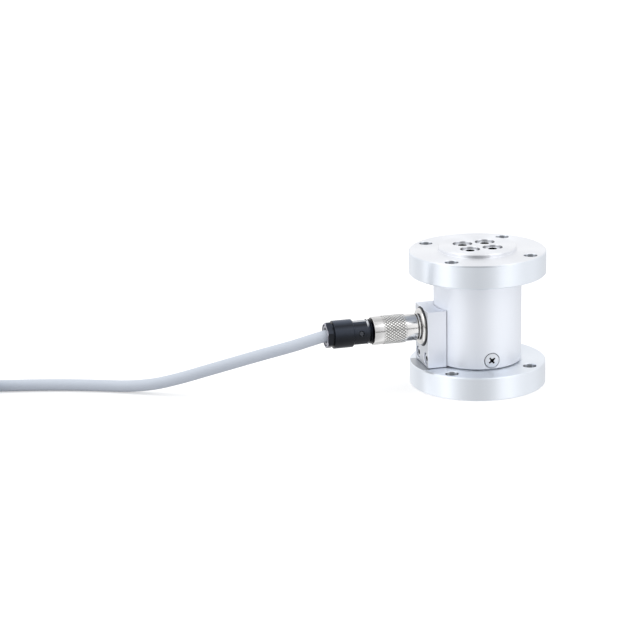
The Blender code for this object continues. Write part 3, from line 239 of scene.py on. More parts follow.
# detail of the marks, scale and detail of the clouds, strength and depth of the bump, shares of marks and clouds
# in the colour, and what the roughness loses and gains by them
surfaces = {
    "turned": Settings(metallic=1.0, detail=3.0, cloud=(45.0, 4.0), strength=0.10, depth=0.00004,
                       shares=(0.5, 0.5), swing=(0.04, 0.05, 0.04)),
    "milled": Settings(metallic=1.0, detail=4.0, cloud=(90.0, 3.0), strength=0.25, depth=0.00003,
                       shares=(0.5, 0.5), swing=(0.04, 0.06, 0.04)),
    "moulded": Settings(metallic=0.0, detail=3.0, cloud=(110.0, 3.0), strength=0.4, depth=0.00002,
                        shares=(0.4, 0.6), swing=(0.06, 0.06, 0.06)),
}


def finished(name, kind, colour, worn, roughness, spread, shade=None, depth=None, **uniform):
    # spread: density of the marks along each axis; shade: a function that paints light or shade into a part of the
    # colour
    look = surfaces[kind]
    material, flow = newMaterial(name, colour, roughness, look.metallic, **uniform)
    place, x, y, z = placeOf(flow)
    if kind == "turned":    # lathe marks only change with the radius and the height
        radius = (x * x + y * y).root()
        where = flow.join(radius * spread, z * spread)
    else:
        where = place.vector("MULTIPLY", spread)
    marks = where.noise(1.0, look.detail)
    cloud = place.noise(*look.cloud)
    bump = flow.node("ShaderNodeBump", {
        "Strength": look.strength, "Distance": depth or look.depth, "Height": marks})
    base = (marks * look.shares[0] + cloud * look.shares[1]).blend(worn, colour)
    less, byMarks, byCloud = look.swing
    feed(flow, Base_Color=shade(base, x, y, z) if shade else base,
         Roughness=roughness - less + marks * byMarks + cloud * byCloud, Normal=bump)
    return material


# painted light and shade on the flanges: a lighter tint painted on the upper top faces, where the light
# falls on them; rings of four bores with painted shade on their walls: place on the diagonal, radius, level from
# the side that faces the light at 0 to the far side at 1; bands of painted soft shadow: radius, height, arc,
# depth; the foot is the block's painted mirror image on the lower flange
boreLook = Settings(
    dark=(0.10, 0.105, 0.12), top=(0.897, 0.902, 0.93), topHeight=(0.0699, 0.0725), topShare=0.7,
    rings=((0.02086, 0.00345, [(0.0, 0.28), (0.80, 0.38), (0.85, 0.95), (0.945, 1.0), (0.972, 0.52),
                               (1.0, 0.45)]),
           (0.00601, 0.0051, [(0.0, 0.30), (0.72, 0.36), (0.83, 0.62), (0.88, 1.0), (0.970, 1.0),
                              (0.985, 0.70), (1.0, 0.62)])),
    bands=(((0.0195, 0.0206), (0.0701, 0.0716), (0.935, 1.003), 0.52),
           ((0.0346, 0.0360), (0.0692, 0.0699), (0.900, 0.990), 0.33),
           ((0.0230, 0.0338), (0.0119, 0.0121), (0.820, 0.990), 0.13)),
    footX=(-0.0352, -0.0290), footY=(-0.0112, 0.0107), footZ=(0.0119, 0.0121), footShare=0.55)


def overDiagonal(x, y, place):
    # the way from the nearest of four spots that lie on the diagonals, and its length
    across, along = (axis - axis.reckon("SIGN", axis) * place for axis in (x, y))
    return across, along, (across * across + along * along).root()


def overAxis(y, z):
    # the distance from the connector's axis
    return (y * y + (z - connectorHeight) * (z - connectorHeight)).root()


def boreShade(metal, x, y, z):
    # paints shade on the walls of the bores and on some parts of the faces, a lighter tint on the top faces and
    # the block's reflection on the lower flange, as seen from the camera's side
    look, (frontX, frontY, _) = boreLook, studio.front
    # a lighter tint painted on the top faces, where the light falls
    metal = (z.within(*look.topHeight) * look.topShare).blend(metal, look.top)
    for diagonal, radius, levels in look.rings:
        across, along, run = overDiagonal(x, y, diagonal)
        far = (across * frontX + along * frontY) / run * -0.5 + 0.5
        metal = ((run < radius) * (1 - far.ramp(levels))).blend(metal, look.dark)
    radius = (x * x + y * y).root()
    ahead = (x * frontX + y * frontY) / radius
    for run, height, (start, full), depth in look.bands:
        band = radius.within(*run) * z.within(*height)
        metal = (ahead.fit(start, full, depth) * band).blend(metal, look.dark)
    # painted reflection of the block on the lower flange's top
    foot = x.within(*look.footX) * y.within(*look.footY) * z.within(*look.footZ)
    return (foot * look.footShare).blend(metal, look.dark)


# painted shade in the recesses of the small parts, and on the block's end face
recessLook = Settings(
    endFace=(0.75, 0.98), endColour=(0.66, 0.685, 0.73), gap=(0.0090, 0.0102), gapFrom=-0.0299,
    gapColour=(0.05, 0.055, 0.065), crossDepth=0.02228, crossColour=(0.012, 0.012, 0.014),
    capScrew=0.00601, capSocket=0.00245, capMiddle=0.036, capDepth=0.03512, capColour=(0.028, 0.028, 0.034),
    groove=0.0066, grooveFrom=-0.0345, grooveShare=0.62, foot=0.0088, footFrom=-0.0310, footShare=0.8,
    grooveColour=(0.03, 0.027, 0.022), keySide=0.0065, keyHeight=0.0165, keyRadius=0.0015, keyFrom=-0.02945,
    keyColour=(0.006, 0.006, 0.008))


def endShade(metal, x, y, z):
    # painted shade: the end face is painted darker, and round the ring lies a painted shadow
    look = recessLook
    end = x.node("ShaderNodeTexCoord", out=1).vector("DOT_PRODUCT", (-1, 0, 0))
    gap = overAxis(y, z).within(*look.gap) * (x < look.gapFrom)
    return gap.blend(end.fit(*look.endFace).blend(metal, look.endColour), look.gapColour)


def crossShade(metal, x, y, z):
    # everything below the flat head of a cover screw lies in shadow
    return (x.reckon("MAXIMUM", abs(x), abs(y)) < recessLook.crossDepth).blend(metal, recessLook.crossColour)


def socketShade(metal, x, y, z):
    # the sockets of the cap screws are in shadow below the tops of their heads
    look = recessLook
    across, along, run = overDiagonal(x, y, look.capScrew)
    return ((run < look.capSocket) * (abs(z - look.capMiddle) < look.capDepth)).blend(metal, look.capColour)


def grooveShade(metal, x, y, z):
    # the grooves beside the receptacle's collar and the foot of its ring are in shadow
    look, radius = recessLook, overAxis(y, z)
    inside = (radius < look.groove) * (x > look.grooveFrom)
    foot = (radius > look.foot) * (x > look.footFrom)
    return (inside * look.grooveShare + foot * look.footShare).blend(metal, look.grooveColour)


def keyShade(metal, x, y, z):
    # the sockets of the block's screws, painted dark as shade
    look = recessLook
    side, rise = abs(y) - look.keySide, z - look.keyHeight
    inside = side * side + rise * rise < look.keyRadius ** 2
    return (inside * (x > look.keyFrom)).blend(metal, look.keyColour)


# a painted sheen on the black plastic: levels against the direction of the surface, from down at 0 to up at 1,
# and places along the connector of painted highlights on the flats, the shoulder and the nut's end face, and of
# the ring in painted shade
plasticSheen = Settings(
    levels=[(0.0, 0.095), (0.05, 0.045), (0.16, 0.010), (0.22, 0.005), (0.40, 0.003), (0.52, 0.010),
            (0.66, 0.036), (0.78, 0.040), (0.88, 0.010), (0.94, 0.040), (1.0, 0.085)],
    tint=(0.80, 0.97, 1.36), ring=-0.0579, ringColour=(0.001, 0.001, 0.003),
    shoulder=(-0.0602, -0.0586), shoulderSteep=(0.55, 0.80), shoulderColour=(0.60, 0.62, 0.66),
    flat=(-0.0671, -0.0593), flatUp=0.93, flatColour=(0.40, 0.42, 0.46),
    end=-0.0809, endOut=-0.6, endColour=(0.50, 0.50, 0.58))


def plugSheen(plastic, x, y, z):
    # paints a sheen, highlights and shade into the colour of the black plastic
    look = plasticSheen
    out, across, up = x.node("ShaderNodeTexCoord", out=1).split()
    lit = plastic.vector("ADD", (up * 0.5 + 0.5).ramp(look.levels).vector("MULTIPLY", look.tint))
    flat = x.within(*look.flat) * (up > look.flatUp)
    shoulder = x.within(*look.shoulder) * abs(up).fit(*look.shoulderSteep)
    end = (x < look.end) * (out < look.endOut)
    ring = x > look.ring
    feed(x, Metallic=ring)
    for part, colour in ((flat, look.flatColour), (shoulder, look.shoulderColour), (end, look.endColour),
                         (ring, look.ringColour)):
        lit = part.blend(lit, colour)
    return lit


def knurlFinish(name, crest, groove, inner, outer):
    # the bottoms of the grooves are painted dark, as shade; the crests are lighter and polished
    material, flow = newMaterial(name, crest, 0.24, 1.0)
    place, x, y, z = placeOf(flow)
    height = overAxis(y, z).fit(inner, outer)
    cloud = place.noise(400.0, 3.0)
    feed(flow, Base_Color=(height * 0.85 + cloud * 0.15).blend(groove, crest),
         Roughness=0.40 - height * 0.16 + cloud * 0.04)
    return material


flangeMetal = finished("flange_metal", "turned", (0.828, 0.868, 0.93), (0.793, 0.84, 0.905), 0.36, 2500.0,
                       boreShade, Anisotropic=0.95, Anisotropic_Rotation=0.25)
coverMetal = finished("cover_metal", "turned", (0.865, 0.893, 0.95), (0.84, 0.868, 0.925), 0.56, 2500.0,
                      Anisotropic=0.20, Anisotropic_Rotation=0.25)
blockMetal, screwMetal, steelMetal, keyMetal, nickelMetal, shaftMetal, setScrewMetal, goldMetal = (
    finished(name, "milled", *look) for name, *look in (
        ("block_metal", (0.885, 0.915, 0.985), (0.86, 0.89, 0.96), 0.50, (500, 500, 7000), endShade),
        ("cap_screw_metal", (0.78, 0.80, 0.84), (0.70, 0.72, 0.76), 0.25, (3000, 3000, 3000), socketShade),
        ("cover_screw_metal", (0.72, 0.75, 0.80), (0.68, 0.71, 0.76), 0.34, (2500, 2500, 2500), crossShade),
        ("block_screw_metal", (0.72, 0.74, 0.78), (0.66, 0.68, 0.72), 0.28, (3000, 3000, 3000), keyShade),
        ("connector_nickel", (0.68, 0.677, 0.68), (0.63, 0.625, 0.62), 0.16, (2500, 900, 900), grooveShade),
        ("shaft_steel", (0.62, 0.63, 0.65), (0.54, 0.55, 0.57), 0.30, (900, 900, 4000)),
        ("set_screw_dark", (0.12, 0.13, 0.15), (0.07, 0.075, 0.09), 0.38, (2500, 2500, 2500)),
        ("contact_gold", (0.86, 0.66, 0.28), (0.78, 0.56, 0.20), 0.22, (3000, 3000, 3000))))
knurlMetal = knurlFinish("knurl_nickel", (0.86, 0.855, 0.845), (0.06, 0.058, 0.055), 0.00717, 0.00736)


def plastic(name, colour, worn, roughness, grain, depth=None, shade=None, **uniform):
    return finished(name, "moulded", colour, worn, roughness, (grain,) * 3, shade, depth, **uniform)


shellBlack = plastic("shell_black", (0.006, 0.0075, 0.011), (0.004, 0.005, 0.008), 0.30, 4200.0, 0.00001,
                     plugSheen, Specular_IOR_Level=0.17)
insertBlack = plastic("insert_black", (0.05, 0.05, 0.055), (0.03, 0.03, 0.034), 0.5, 3500.0)
washerGrey = plastic("washer_grey", (0.42, 0.42, 0.455), (0.37, 0.37, 0.40), 0.4, 3000.0)
sheathGrey = plastic("cable_sheath", (0.60, 0.65, 0.73), (0.55, 0.60, 0.68), 0.45, 1500.0, 0.00003)
sealRubber = plastic("seal_rubber", (0.03, 0.03, 0.034), (0.02, 0.02, 0.022), 0.62, 2500.0, 0.00003)
tieBlack = plastic("tie_black", (0.035, 0.035, 0.04), (0.022, 0.022, 0.026), 0.42, 2500.0, 0.00003)
boardGreen = plastic("board_green", (0.03, 0.20, 0.08), (0.02, 0.15, 0.06), 0.38, 1200.0)
gaugeFoil = plastic("gauge_foil", (0.60, 0.38, 0.13), (0.48, 0.28, 0.09), 0.35, 2600.0)
leadPlastic = {name: plastic("lead_" + name, colour, worn, 0.4, 1800.0) for name, colour, worn in (
    ("red", (0.50, 0.03, 0.025), (0.42, 0.02, 0.02)), ("black", (0.025, 0.025, 0.028), (0.018, 0.018, 0.02)),
    ("green", (0.02, 0.24, 0.08), (0.015, 0.19, 0.06)), ("white", (0.74, 0.74, 0.71), (0.66, 0.66, 0.63)))}
print("materials built:", len(bpy.data.materials))


def addPiece(name, mesh, material, body="sensor", sharp=32):
    mesh.name = name
    mesh.materials.clear()
    mesh.materials.append(material)
    mesh.shade_smooth()
    mesh.set_sharp_from_angle(angle=math.radians(sharp))
    piece = linked(name, mesh)
    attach(piece, body)
    return piece


def polar(radius, angle, centre=(0, 0)):
    # a point round a centre, the angle in degrees
    turn = math.radians(angle)
    return centre[0] + radius * math.cos(turn), centre[1] + radius * math.sin(turn)


def turnMesh(profile, steps, loop=False):
    # profile: (radius, height) pairs, down the outer side from top to bottom
    verts, rings, faces = [], [], []
    for radius, height in profile:
        spots = [(*polar(radius, 360 * k / steps), height) for k in range(steps if radius else 1)]
        rings.append([len(verts) + k % len(spots) for k in range(steps)])
        verts += spots
    for upper, lower in zip(rings, rings[1:] + rings[:loop]):
        for k in range(steps):
            face = list(dict.fromkeys((upper[k], lower[k], lower[(k + 1) % steps], upper[(k + 1) % steps])))
            if len(face) > 2:
                faces.append(face)
    mesh = bpy.data.meshes.new("turned")
    mesh.from_pydata(verts, [], faces)
    return mesh


def pinMesh(profile, steps, tip=0.0):
    # a solid that closes on its axis: flat at the top, with a tip or flat at the bottom
    return turnMesh([(0, profile[0][1]), *profile, (0, profile[-1][1] - tip)], steps)


def roundCorner(centre, radius, start, end, count=4):
    return [polar(radius, start + (end - start) * k / count, centre) for k in range(count + 1)]


def square(radius, height, *turns):
    # a run of square corners: turns change the height and the radius one after the other
    run = [(radius, height)]
    for k, value in enumerate(turns):
        run.append((value, run[-1][1]) if k % 2 else (run[-1][0], value))
    return run


def edgeRun(radius, top, low, chamfer):
    # a rim with a chamfer at both ends, from its upper face to its lower one
    return [(radius - chamfer, top), (radius, top - chamfer), (radius, low + chamfer), (radius - chamfer, low)]


def closed(bm):
    mesh = bpy.data.meshes.new("joined")
    bm.to_mesh(mesh)
    bm.free()
    return mesh


def boxMesh(low, high):
    bm = bmesh.new()
    bmesh.ops.create_cube(bm, size=1.0)
    for vert in bm.verts:
        vert.co = [low[k] if vert.co[k] < 0 else high[k] for k in range(3)]
    return closed(bm)


def joinMeshes(meshes):
    bm = bmesh.new()
    for mesh in meshes:
        bm.from_mesh(mesh)
    return closed(bm)


def evaluated(thing):
    # the object with its modifiers, as a plain mesh
    bpy.context.view_layer.update()
    return bpy.data.meshes.new_from_object(thing.evaluated_get(bpy.context.evaluated_depsgraph_get()))


def shaped(mesh, cutters=(), operation="DIFFERENCE", bevel=None):
    # runs booleans and an optional bevel on a mesh, and hands back the result
    body = linked("work", mesh)
    tools = [linked("cutter", cutter) for cutter in cutters]
    for tool in tools:
        step = body.modifiers.new("cut", "BOOLEAN")
        step.operation, step.solver, step.object = operation, "EXACT", tool
    if bevel:
        step = body.modifiers.new("edges", "BEVEL")
        step.width, step.segments = bevel
        step.limit_method, step.angle_limit = "ANGLE", math.radians(40)
    result = evaluated(body)
    for extra in [body] + tools:
        bpy.data.objects.remove(extra)
    return result


def moved(mesh, *steps):
    # steps: matrices in the order of a product, so the last one works first
    matrix = Matrix.Identity(4)
    for step in steps:
        matrix = matrix @ step
    mesh.transform(matrix)
    return mesh


def spin(axis, degrees):
    return Matrix.Rotation(math.radians(degrees), 4, axis)


def shift(*way):
    return Matrix.Translation(way)


def alongConnector(mesh, roll=0.0):
    # turns a mesh that stands on +Z into the connector's direction
    return moved(mesh, shift(0, 0, connectorHeight), spin("Y", -90), spin("Z", roll))


def plantTree(name, floats, **others):
    tree = bpy.data.node_groups.new(name, "GeometryNodeTree")
    for label, kind in {**others, **dict.fromkeys(floats.split(), "Float")}.items():
        tree.interface.new_socket(label, in_out="INPUT", socket_type="NodeSocket" + kind)
    tree.interface.new_socket("Geometry", in_out="OUTPUT", socket_type="NodeSocketGeometry")
    entry = tree.nodes.new("NodeGroupInput")
    return Flow(tree), Settings({socket.name: Flow(tree, socket) for socket in entry.outputs if socket.name})


def scatter(flow, given, count, spot, **instance):
    # sets instances on points, and ends a tree in real geometry with its material
    points = flow.node("GeometryNodePoints", {"Count": count, "Position": spot})
    copies = flow.node("GeometryNodeInstanceOnPoints", {"Points": points, **instance})
    real = flow.node("GeometryNodeRealizeInstances", {"Geometry": copies})
    painted = flow.node("GeometryNodeSetMaterial", {"Geometry": real, "Material": given.Material})
    leave = flow.tree.nodes.new("NodeGroupOutput")
    flow.tree.links.new(painted.socket, leave.inputs["Geometry"])
    return flow.tree


def grow(tree, **values):
    # runs a tree on an empty mesh and hands back a plain mesh
    host = linked("host", bpy.data.meshes.new("host"))
    step = host.modifiers.new("grow", "NODES")
    step.node_group = tree
    for item in tree.interface.items_tree:
        if item.in_out == "INPUT":
            step[item.identifier] = values[item.name]
    mesh = evaluated(host)
    host.modifiers.remove(step)
    bpy.data.objects.remove(host)
    return mesh


def onCircle(flow, radius, angle):
    return radius * flow.reckon("COSINE", angle), radius * flow.reckon("SINE", angle)


def ringTree():
    # copies of one piece round the sensor's axis, each turned to its place
    flow, given = plantTree("ring_of_pieces", "Radius Start Turn Height SideStart SideStep",
                            Piece="Object", Count="Int", Material="Material")
    index = flow.node("GeometryNodeInputIndex")
    angle = given.Start + index * given.Turn
    across, along = onCircle(flow, given.Radius, angle)
    along = along + given.SideStart + index * given.SideStep
    spot = flow.join(across, along, given.Height)
    piece = flow.node("GeometryNodeObjectInfo", {"Object": given.Piece}, out="Geometry")
    return scatter(flow, given, given.Count, spot, Instance=piece, Rotation=flow.join(z=angle))


ringOfPieces = ringTree()


def ringMesh(mesh, count, radius, start, turn, height, material, sideStart=0.0, sideStep=0.0):
    sample = linked("sample", mesh)
    made = grow(ringOfPieces, Piece=sample, Count=count, Radius=radius, Start=math.radians(start),
                Turn=math.radians(turn), Height=height, SideStart=sideStart, SideStep=sideStep, Material=material)
    bpy.data.objects.remove(sample)
    return made


def knurlTree():
    # rows of low diamonds round a cylinder, each row half a diamond further on
    flow, given = plantTree("diamond_knurl", "Radius Start Length Rise Crest",
                            Around="Int", Rows="Int", Material="Material")
    index = flow.node("GeometryNodeInputIndex")
    row = flow.reckon("FLOOR", (index + 0.5) / given.Around)
    column = index - row * given.Around + flow.reckon("MODULO", row, 2.0) * 0.5
    angle = column * (2 * math.pi) / given.Around
    pitch = given.Length / (given.Rows + 1)
    across, along = onCircle(flow, given.Radius, angle)
    spot = flow.join(across, along, given.Start + (row + 1) * pitch)
    diamond = flow.node("GeometryNodeMeshCone", {
        "Vertices": 4, "Radius Top": given.Crest, "Radius Bottom": 1.0, "Depth": 1.0}, fill_type="NGON")
    return scatter(flow, given, given.Around * given.Rows, spot, Instance=diamond,
                   Rotation=flow.join(0.0, math.pi / 2, angle),
                   Scale=flow.join(pitch, given.Radius * math.pi / given.Around, given.Rise))


# lengths in metres, angles in degrees
flangeSizes = Settings(
    radius=0.035, thickness=0.012, chamfer=0.0005, bodyHeight=0.070, bossRadius=0.020, bossHeight=0.002,
    bossFillet=0.0003, register=0.001, hubSeat=0.0143, spigotRadius=0.0197, spigotBore=0.0160,
    grooveFloor=0.0180, grooveHalf=0.0010, grooveMiddle=0.0016, lowerSpigot=0.0095, upperSpigot=0.0070,
    boltCircle=0.0295, boltHole=0.0033, holeChamfer=0.0004, screwCircle=0.0085, counterbore=0.0050,
    counterboreDepth=0.0061, counterboreEdge=0.0002, screwHole=0.0028, steps=256)
reach = 0.001       # how far a cutter runs past the face that it enters
play = 0.0003       # how much wider than a screw its hole is


def boltDrill(low, high):
    hole, edge = flangeSizes.boltHole, flangeSizes.holeChamfer
    mouth = hole + edge + reach
    return pinMesh([(mouth, high + reach), (hole, high - edge), (hole, low + edge), (mouth, low - reach)], 64)


def capScrewDrill(depth):
    # stands on the face at z = 0 and goes down
    size = flangeSizes
    wide, edge, hole, floor = size.counterbore, size.counterboreEdge, size.screwHole, -size.counterboreDepth
    return pinMesh([(wide + edge + reach, reach), *square(wide, -edge, floor, hole, -depth - reach)], 64)


def ringOfCuts(cutter, radius, height, turn=0):
    # four cutters that do not touch, as one mesh
    return joinMeshes([moved(cutter.copy(), shift(*polar(radius, angle), height), spin("X", turn))
                       for angle in range(45, 360, 90)])


def sideDrill(radius, inner, outer, angle, height, side=0.0):
    # a plain drill that runs outwards from the axis
    drill = pinMesh(square(radius, outer, inner), 48)
    return moved(drill, spin("Z", angle), shift(0, side, height), spin("Y", 90))


def grooveRun(middle):
    # the groove of a seal in a spigot
    size = flangeSizes
    high, low = middle + size.grooveHalf, middle - size.grooveHalf
    return [(size.spigotRadius, high), *square(size.grooveFloor, high, low, size.spigotRadius)]


def buildUpperFlange():
    size = flangeSizes
    chamfer, fillet, spigot, boss = size.chamfer, size.bossFillet, size.spigotRadius, size.bossRadius
    top = size.bodyHeight
    face, low = top + size.bossHeight, top - size.thickness
    end, floor = low - size.upperSpigot, low + size.register
    profile = [
        (0, face), (boss - chamfer, face), (boss, face - chamfer),
        *roundCorner((boss + fillet, top + fillet), fillet, 180, 270),
        *edgeRun(size.radius, top, low, chamfer), (spigot, low), *grooveRun(low - size.grooveMiddle),
        (spigot, end + chamfer), (spigot - chamfer, end),
        *square(size.spigotBore, end, low, size.hubSeat, floor, 0)]
    cuts = [ringOfCuts(boltDrill(low, top), size.boltCircle, 0.0),
            ringOfCuts(capScrewDrill(face - floor), size.screwCircle, face)]
    mesh = shaped(turnMesh(profile, size.steps), cuts)
    piece = addPiece("upper_flange_turned", mesh, flangeMetal)
    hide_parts("upper_flange")


coverSizes = Settings(
    radius=0.0225, bore=0.0200, low=0.0127, high=0.0576, edge=0.0003, screwHeight=0.0171,
    screwAngles=(-90, 0, 90), screwHead=0.0037, screwRim=0.0003, screwCorner=0.0002, screwShank=0.0020,
    screwLength=0.0058, screwSink=0.0001, clearance=0.0004, sinkDepth=0.0035, wireHole=0.0045,
    wireOuter=0.03, wireInner=0.0143, steps=256)
blockSizes = Settings(
    reach=0.0301, root=0.012, width=0.021, low=0.0123, top=0.042, edge=0.00035, counterbore=0.00315,
    mouth=0.0002, stem=0.00705, stemBack=0.0247, wireHole=0.0045, saddle=0.0228, saddleTop=0.07)
blockScrewSizes = Settings(
    side=0.0065, height=0.0165, head=0.00275, headHeight=0.003, shank=0.0015, length=0.010, socket=0.0025,
    socketDepth=0.0015, edge=0.0003, sink=0.0006)


def blockScrewDrills(inner):
    size = blockScrewSizes
    return [sideDrill(size.shank + play, inner, blockSizes.reach, 180, size.height, side)
            for side in (-size.side, size.side)]


def buildLowerFlange():
    size, cover = flangeSizes, coverSizes
    chamfer, spigot, face = size.chamfer, size.spigotRadius, size.thickness
    top, floor = face + size.lowerSpigot, face - size.register
    profile = [
        (0, floor), *square(size.hubSeat, floor, face, size.spigotBore, top),
        (spigot - chamfer, top), (spigot, top - chamfer), *grooveRun(face + size.grooveMiddle), (spigot, face),
        *edgeRun(size.radius, face, 0.0, chamfer), (0, 0)]
    cuts = [ringOfCuts(boltDrill(0.0, face), size.boltCircle, 0.0),
            ringOfCuts(capScrewDrill(floor), size.screwCircle, 0.0, turn=180)]
    cuts += [sideDrill(cover.screwShank + play, size.spigotBore - reach, cover.radius, angle, cover.screwHeight)
             for angle in cover.screwAngles]
    cuts += blockScrewDrills(size.hubSeat - reach)
    mesh = shaped(turnMesh(profile, size.steps), cuts)
    piece = addPiece("lower_flange_turned", mesh, flangeMetal)
    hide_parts("lower_flange")


buildUpperFlange()
buildLowerFlange()
print("flanges turned")


def buildCover():
    size = coverSizes
    head, hole = size.screwHead + size.clearance, size.screwShank + size.clearance
    rim = size.screwSink + size.screwRim
    drill = pinMesh([(head, reach), (head, -rim), (hole, -rim - head + hole), (hole, -size.sinkDepth)], 96)
    cuts = [moved(drill.copy(), spin("Z", angle), shift(size.radius, 0, size.screwHeight), spin("Y", 90))
            for angle in size.screwAngles]
    cuts += blockScrewDrills(flangeSizes.hubSeat)
    cuts.append(alongConnector(pinMesh(square(size.wireHole, size.wireOuter, size.wireInner), 48)))
    profile = edgeRun(size.radius, size.high, size.low, size.edge) + square(size.bore, size.low, size.high)
    mesh = shaped(turnMesh(profile, size.steps, loop=True), cuts)
    piece = addPiece("cover_tube_turned", mesh, coverMetal)
    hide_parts("cover_tube")


buildCover()
print("cover turned")


capScrewSizes = Settings(
    head=0.00425, headHeight=0.005, shank=0.0025, topLength=0.014, baseLength=0.012, socket=0.004,
    socketDepth=0.0025, edge=0.0004, seat=0.0058)
# fine edges of the socket screws
socketDetail = Settings(rim=0.0001, cone=0.0004, mouth=0.0002)


def socketScrewMesh(size, length):
    # underside of the head at z = 0, shank along -Z
    head, top, shank, edge, fine = size.head, size.headHeight, size.shank, size.edge, socketDetail
    profile = [*roundCorner((head - edge, top - edge), edge, 90, 0), (head, fine.rim), (head - fine.rim, 0),
               (shank, 0), (shank, edge - length), (shank - edge, -length)]
    corner = size.socket / math.sqrt(3)
    key = pinMesh(square(corner, top + reach, top - size.socketDepth), 6, fine.cone)
    mouth = pinMesh([(corner + reach, top + reach), (corner - fine.mouth, top - fine.mouth)], 48)
    return shaped(pinMesh(profile, 64), [key, mouth])


def buildCapScrews():
    size, flange = capScrewSizes, flangeSizes
    meshes = []
    for end, length, height, turn in (
            ("top", size.topLength, flange.bodyHeight + flange.bossHeight - size.seat, 0),
            ("base", size.baseLength, size.seat, 180)):
        screw = moved(socketScrewMesh(size, length), spin("X", turn))
        meshes.append(ringMesh(screw, 4, flange.screwCircle, 45, 90, height, screwMetal))
    piece = addPiece("cap_screws", joinMeshes(meshes), screwMetal)
    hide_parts(*[end + "_cap_screw_" + str(k) for end in ("top", "base") for k in range(1, 5)])


crossRecess = Settings(
    length=0.0044, width=0.0010, depth=0.0015, floorLength=0.0022, floorWidth=0.0006, above=0.0004, turn=38,
    coneTop=0.0011, coneFoot=0.0005, coneDepth=0.0019, coneTip=0.0003)


def crossCutters():
    # two tapered wings and a small cone where they meet
    size = crossRecess
    half, side = size.length / 2, size.width / 2
    cutters = []
    for turn in (0, 90):
        wing = boxMesh((-half, -side, -size.depth), (half, side, size.above))
        for vert in wing.vertices:
            if vert.co.z < 0:
                vert.co.x *= size.floorLength / size.length
                vert.co.y *= size.floorWidth / size.width
        cutters.append(moved(wing, spin("Z", turn + size.turn)))
    cone = [(size.coneTop, size.above), (size.coneFoot, -size.coneDepth)]
    return cutters + [pinMesh(cone, 24, size.coneTip)]


def buildCoverScrews():
    size = coverSizes
    head, rim, corner, shank = size.screwHead, size.screwRim, size.screwCorner, size.screwShank
    profile = [*roundCorner((head - corner, -corner), corner, 90, 0), (head, -rim), (shank, -rim - (head - shank)),
               (shank, -size.screwLength)]
    screw = moved(shaped(pinMesh(profile, 96), crossCutters()), spin("Y", 90))
    mesh = ringMesh(screw, 3, size.radius - size.screwSink, -90, 90, size.screwHeight, steelMetal)
    piece = addPiece("cover_screws", mesh, steelMetal)
    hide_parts("cover_screw_1", "cover_screw_2", "cover_screw_3")


def buildBlockScrews():
    size = blockScrewSizes
    seat = blockSizes.reach - size.sink - size.headHeight
    screw = moved(socketScrewMesh(size, size.length), shift(-seat, 0, 0), spin("Y", -90))
    mesh = ringMesh(screw, 2, 0.0, 0, 0, size.height, keyMetal, -size.side, 2 * size.side)
    piece = addPiece("block_screws", mesh, keyMetal)
    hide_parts("block_screw_1", "block_screw_2")


buildCapScrews()
buildCoverScrews()
buildBlockScrews()
print("screws placed")


def buildBlock():
    size, screw = blockSizes, blockScrewSizes
    face, wide, side, hole = size.reach, size.counterbore, size.width / 2, screw.shank + play
    seat = face - screw.sink - screw.headHeight - play
    body = shaped(boxMesh((-face, -side, size.low), (-size.root, side, size.top)),
                  bevel=(size.edge, 3))
    cuts = [pinMesh(square(size.saddle, size.saddleTop, 0), 256),
            alongConnector(pinMesh(square(size.stem, face + reach, size.stemBack, size.wireHole, 0), 96))]
    for spot in (-screw.side, screw.side):
        drill = pinMesh([(wide + size.mouth + reach, face + reach),
                         *square(wide, face - size.mouth, seat, hole, 0)], 64)
        cuts.append(moved(drill, shift(0, spot, screw.height), spin("Y", -90)))
    piece = addPiece("connector_block_milled", shaped(body, cuts), blockMetal, sharp=24)
    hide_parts("connector_block")


buildBlock()
print("block milled")


# the connector's parts: places are distances from the sensor's axis
receptacleSizes = Settings(
    ring=0.00955, ringBack=0.0304, ringFront=0.0320, groove=0.00625, collar=0.0070, collarBack=0.0325,
    collarFront=0.0331, rim=0.0001, barrel=0.0057, barrelFront=0.0420, bore=0.0049, stem=0.00675,
    stemBack=0.0250, lip=0.0056, lipEnd=0.0278, edge=0.0003)


def buildReceptacle():
    size = receptacleSizes
    barrel, end, crown = size.barrel, size.barrelFront, size.ringFront - size.ringBack
    profile = [
        (barrel - size.edge, end), (barrel, end - size.edge), (barrel, size.collarFront),
        *edgeRun(size.collar, size.collarFront, size.collarBack, size.rim),
        *square(size.groove, size.collarBack, size.ringFront),
        *roundCorner((size.ring - crown, size.ringBack), crown, 90, 0, 10),
        *square(size.stem, size.ringBack, size.stemBack, size.lip, size.lipEnd, size.bore, end)]
    mesh = alongConnector(turnMesh(profile, 160, loop=True))
    piece = addPiece("receptacle_turned", mesh, nickelMetal)
    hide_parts("receptacle_shell")


sleeveSizes = Settings(
    front=0.0337, knurlFront=0.0396, knurlBack=0.0518, back=0.0568, frontRadius=0.00685, knurlRadius=0.0074,
    knurlRoot=0.00714, knurlSink=0.00002, rearRadius=0.00725, rim=0.0001, bore=0.0061, rearBore=0.0067,
    step=0.0545, edge=0.0003, around=30, rows=11, crest=0.55)


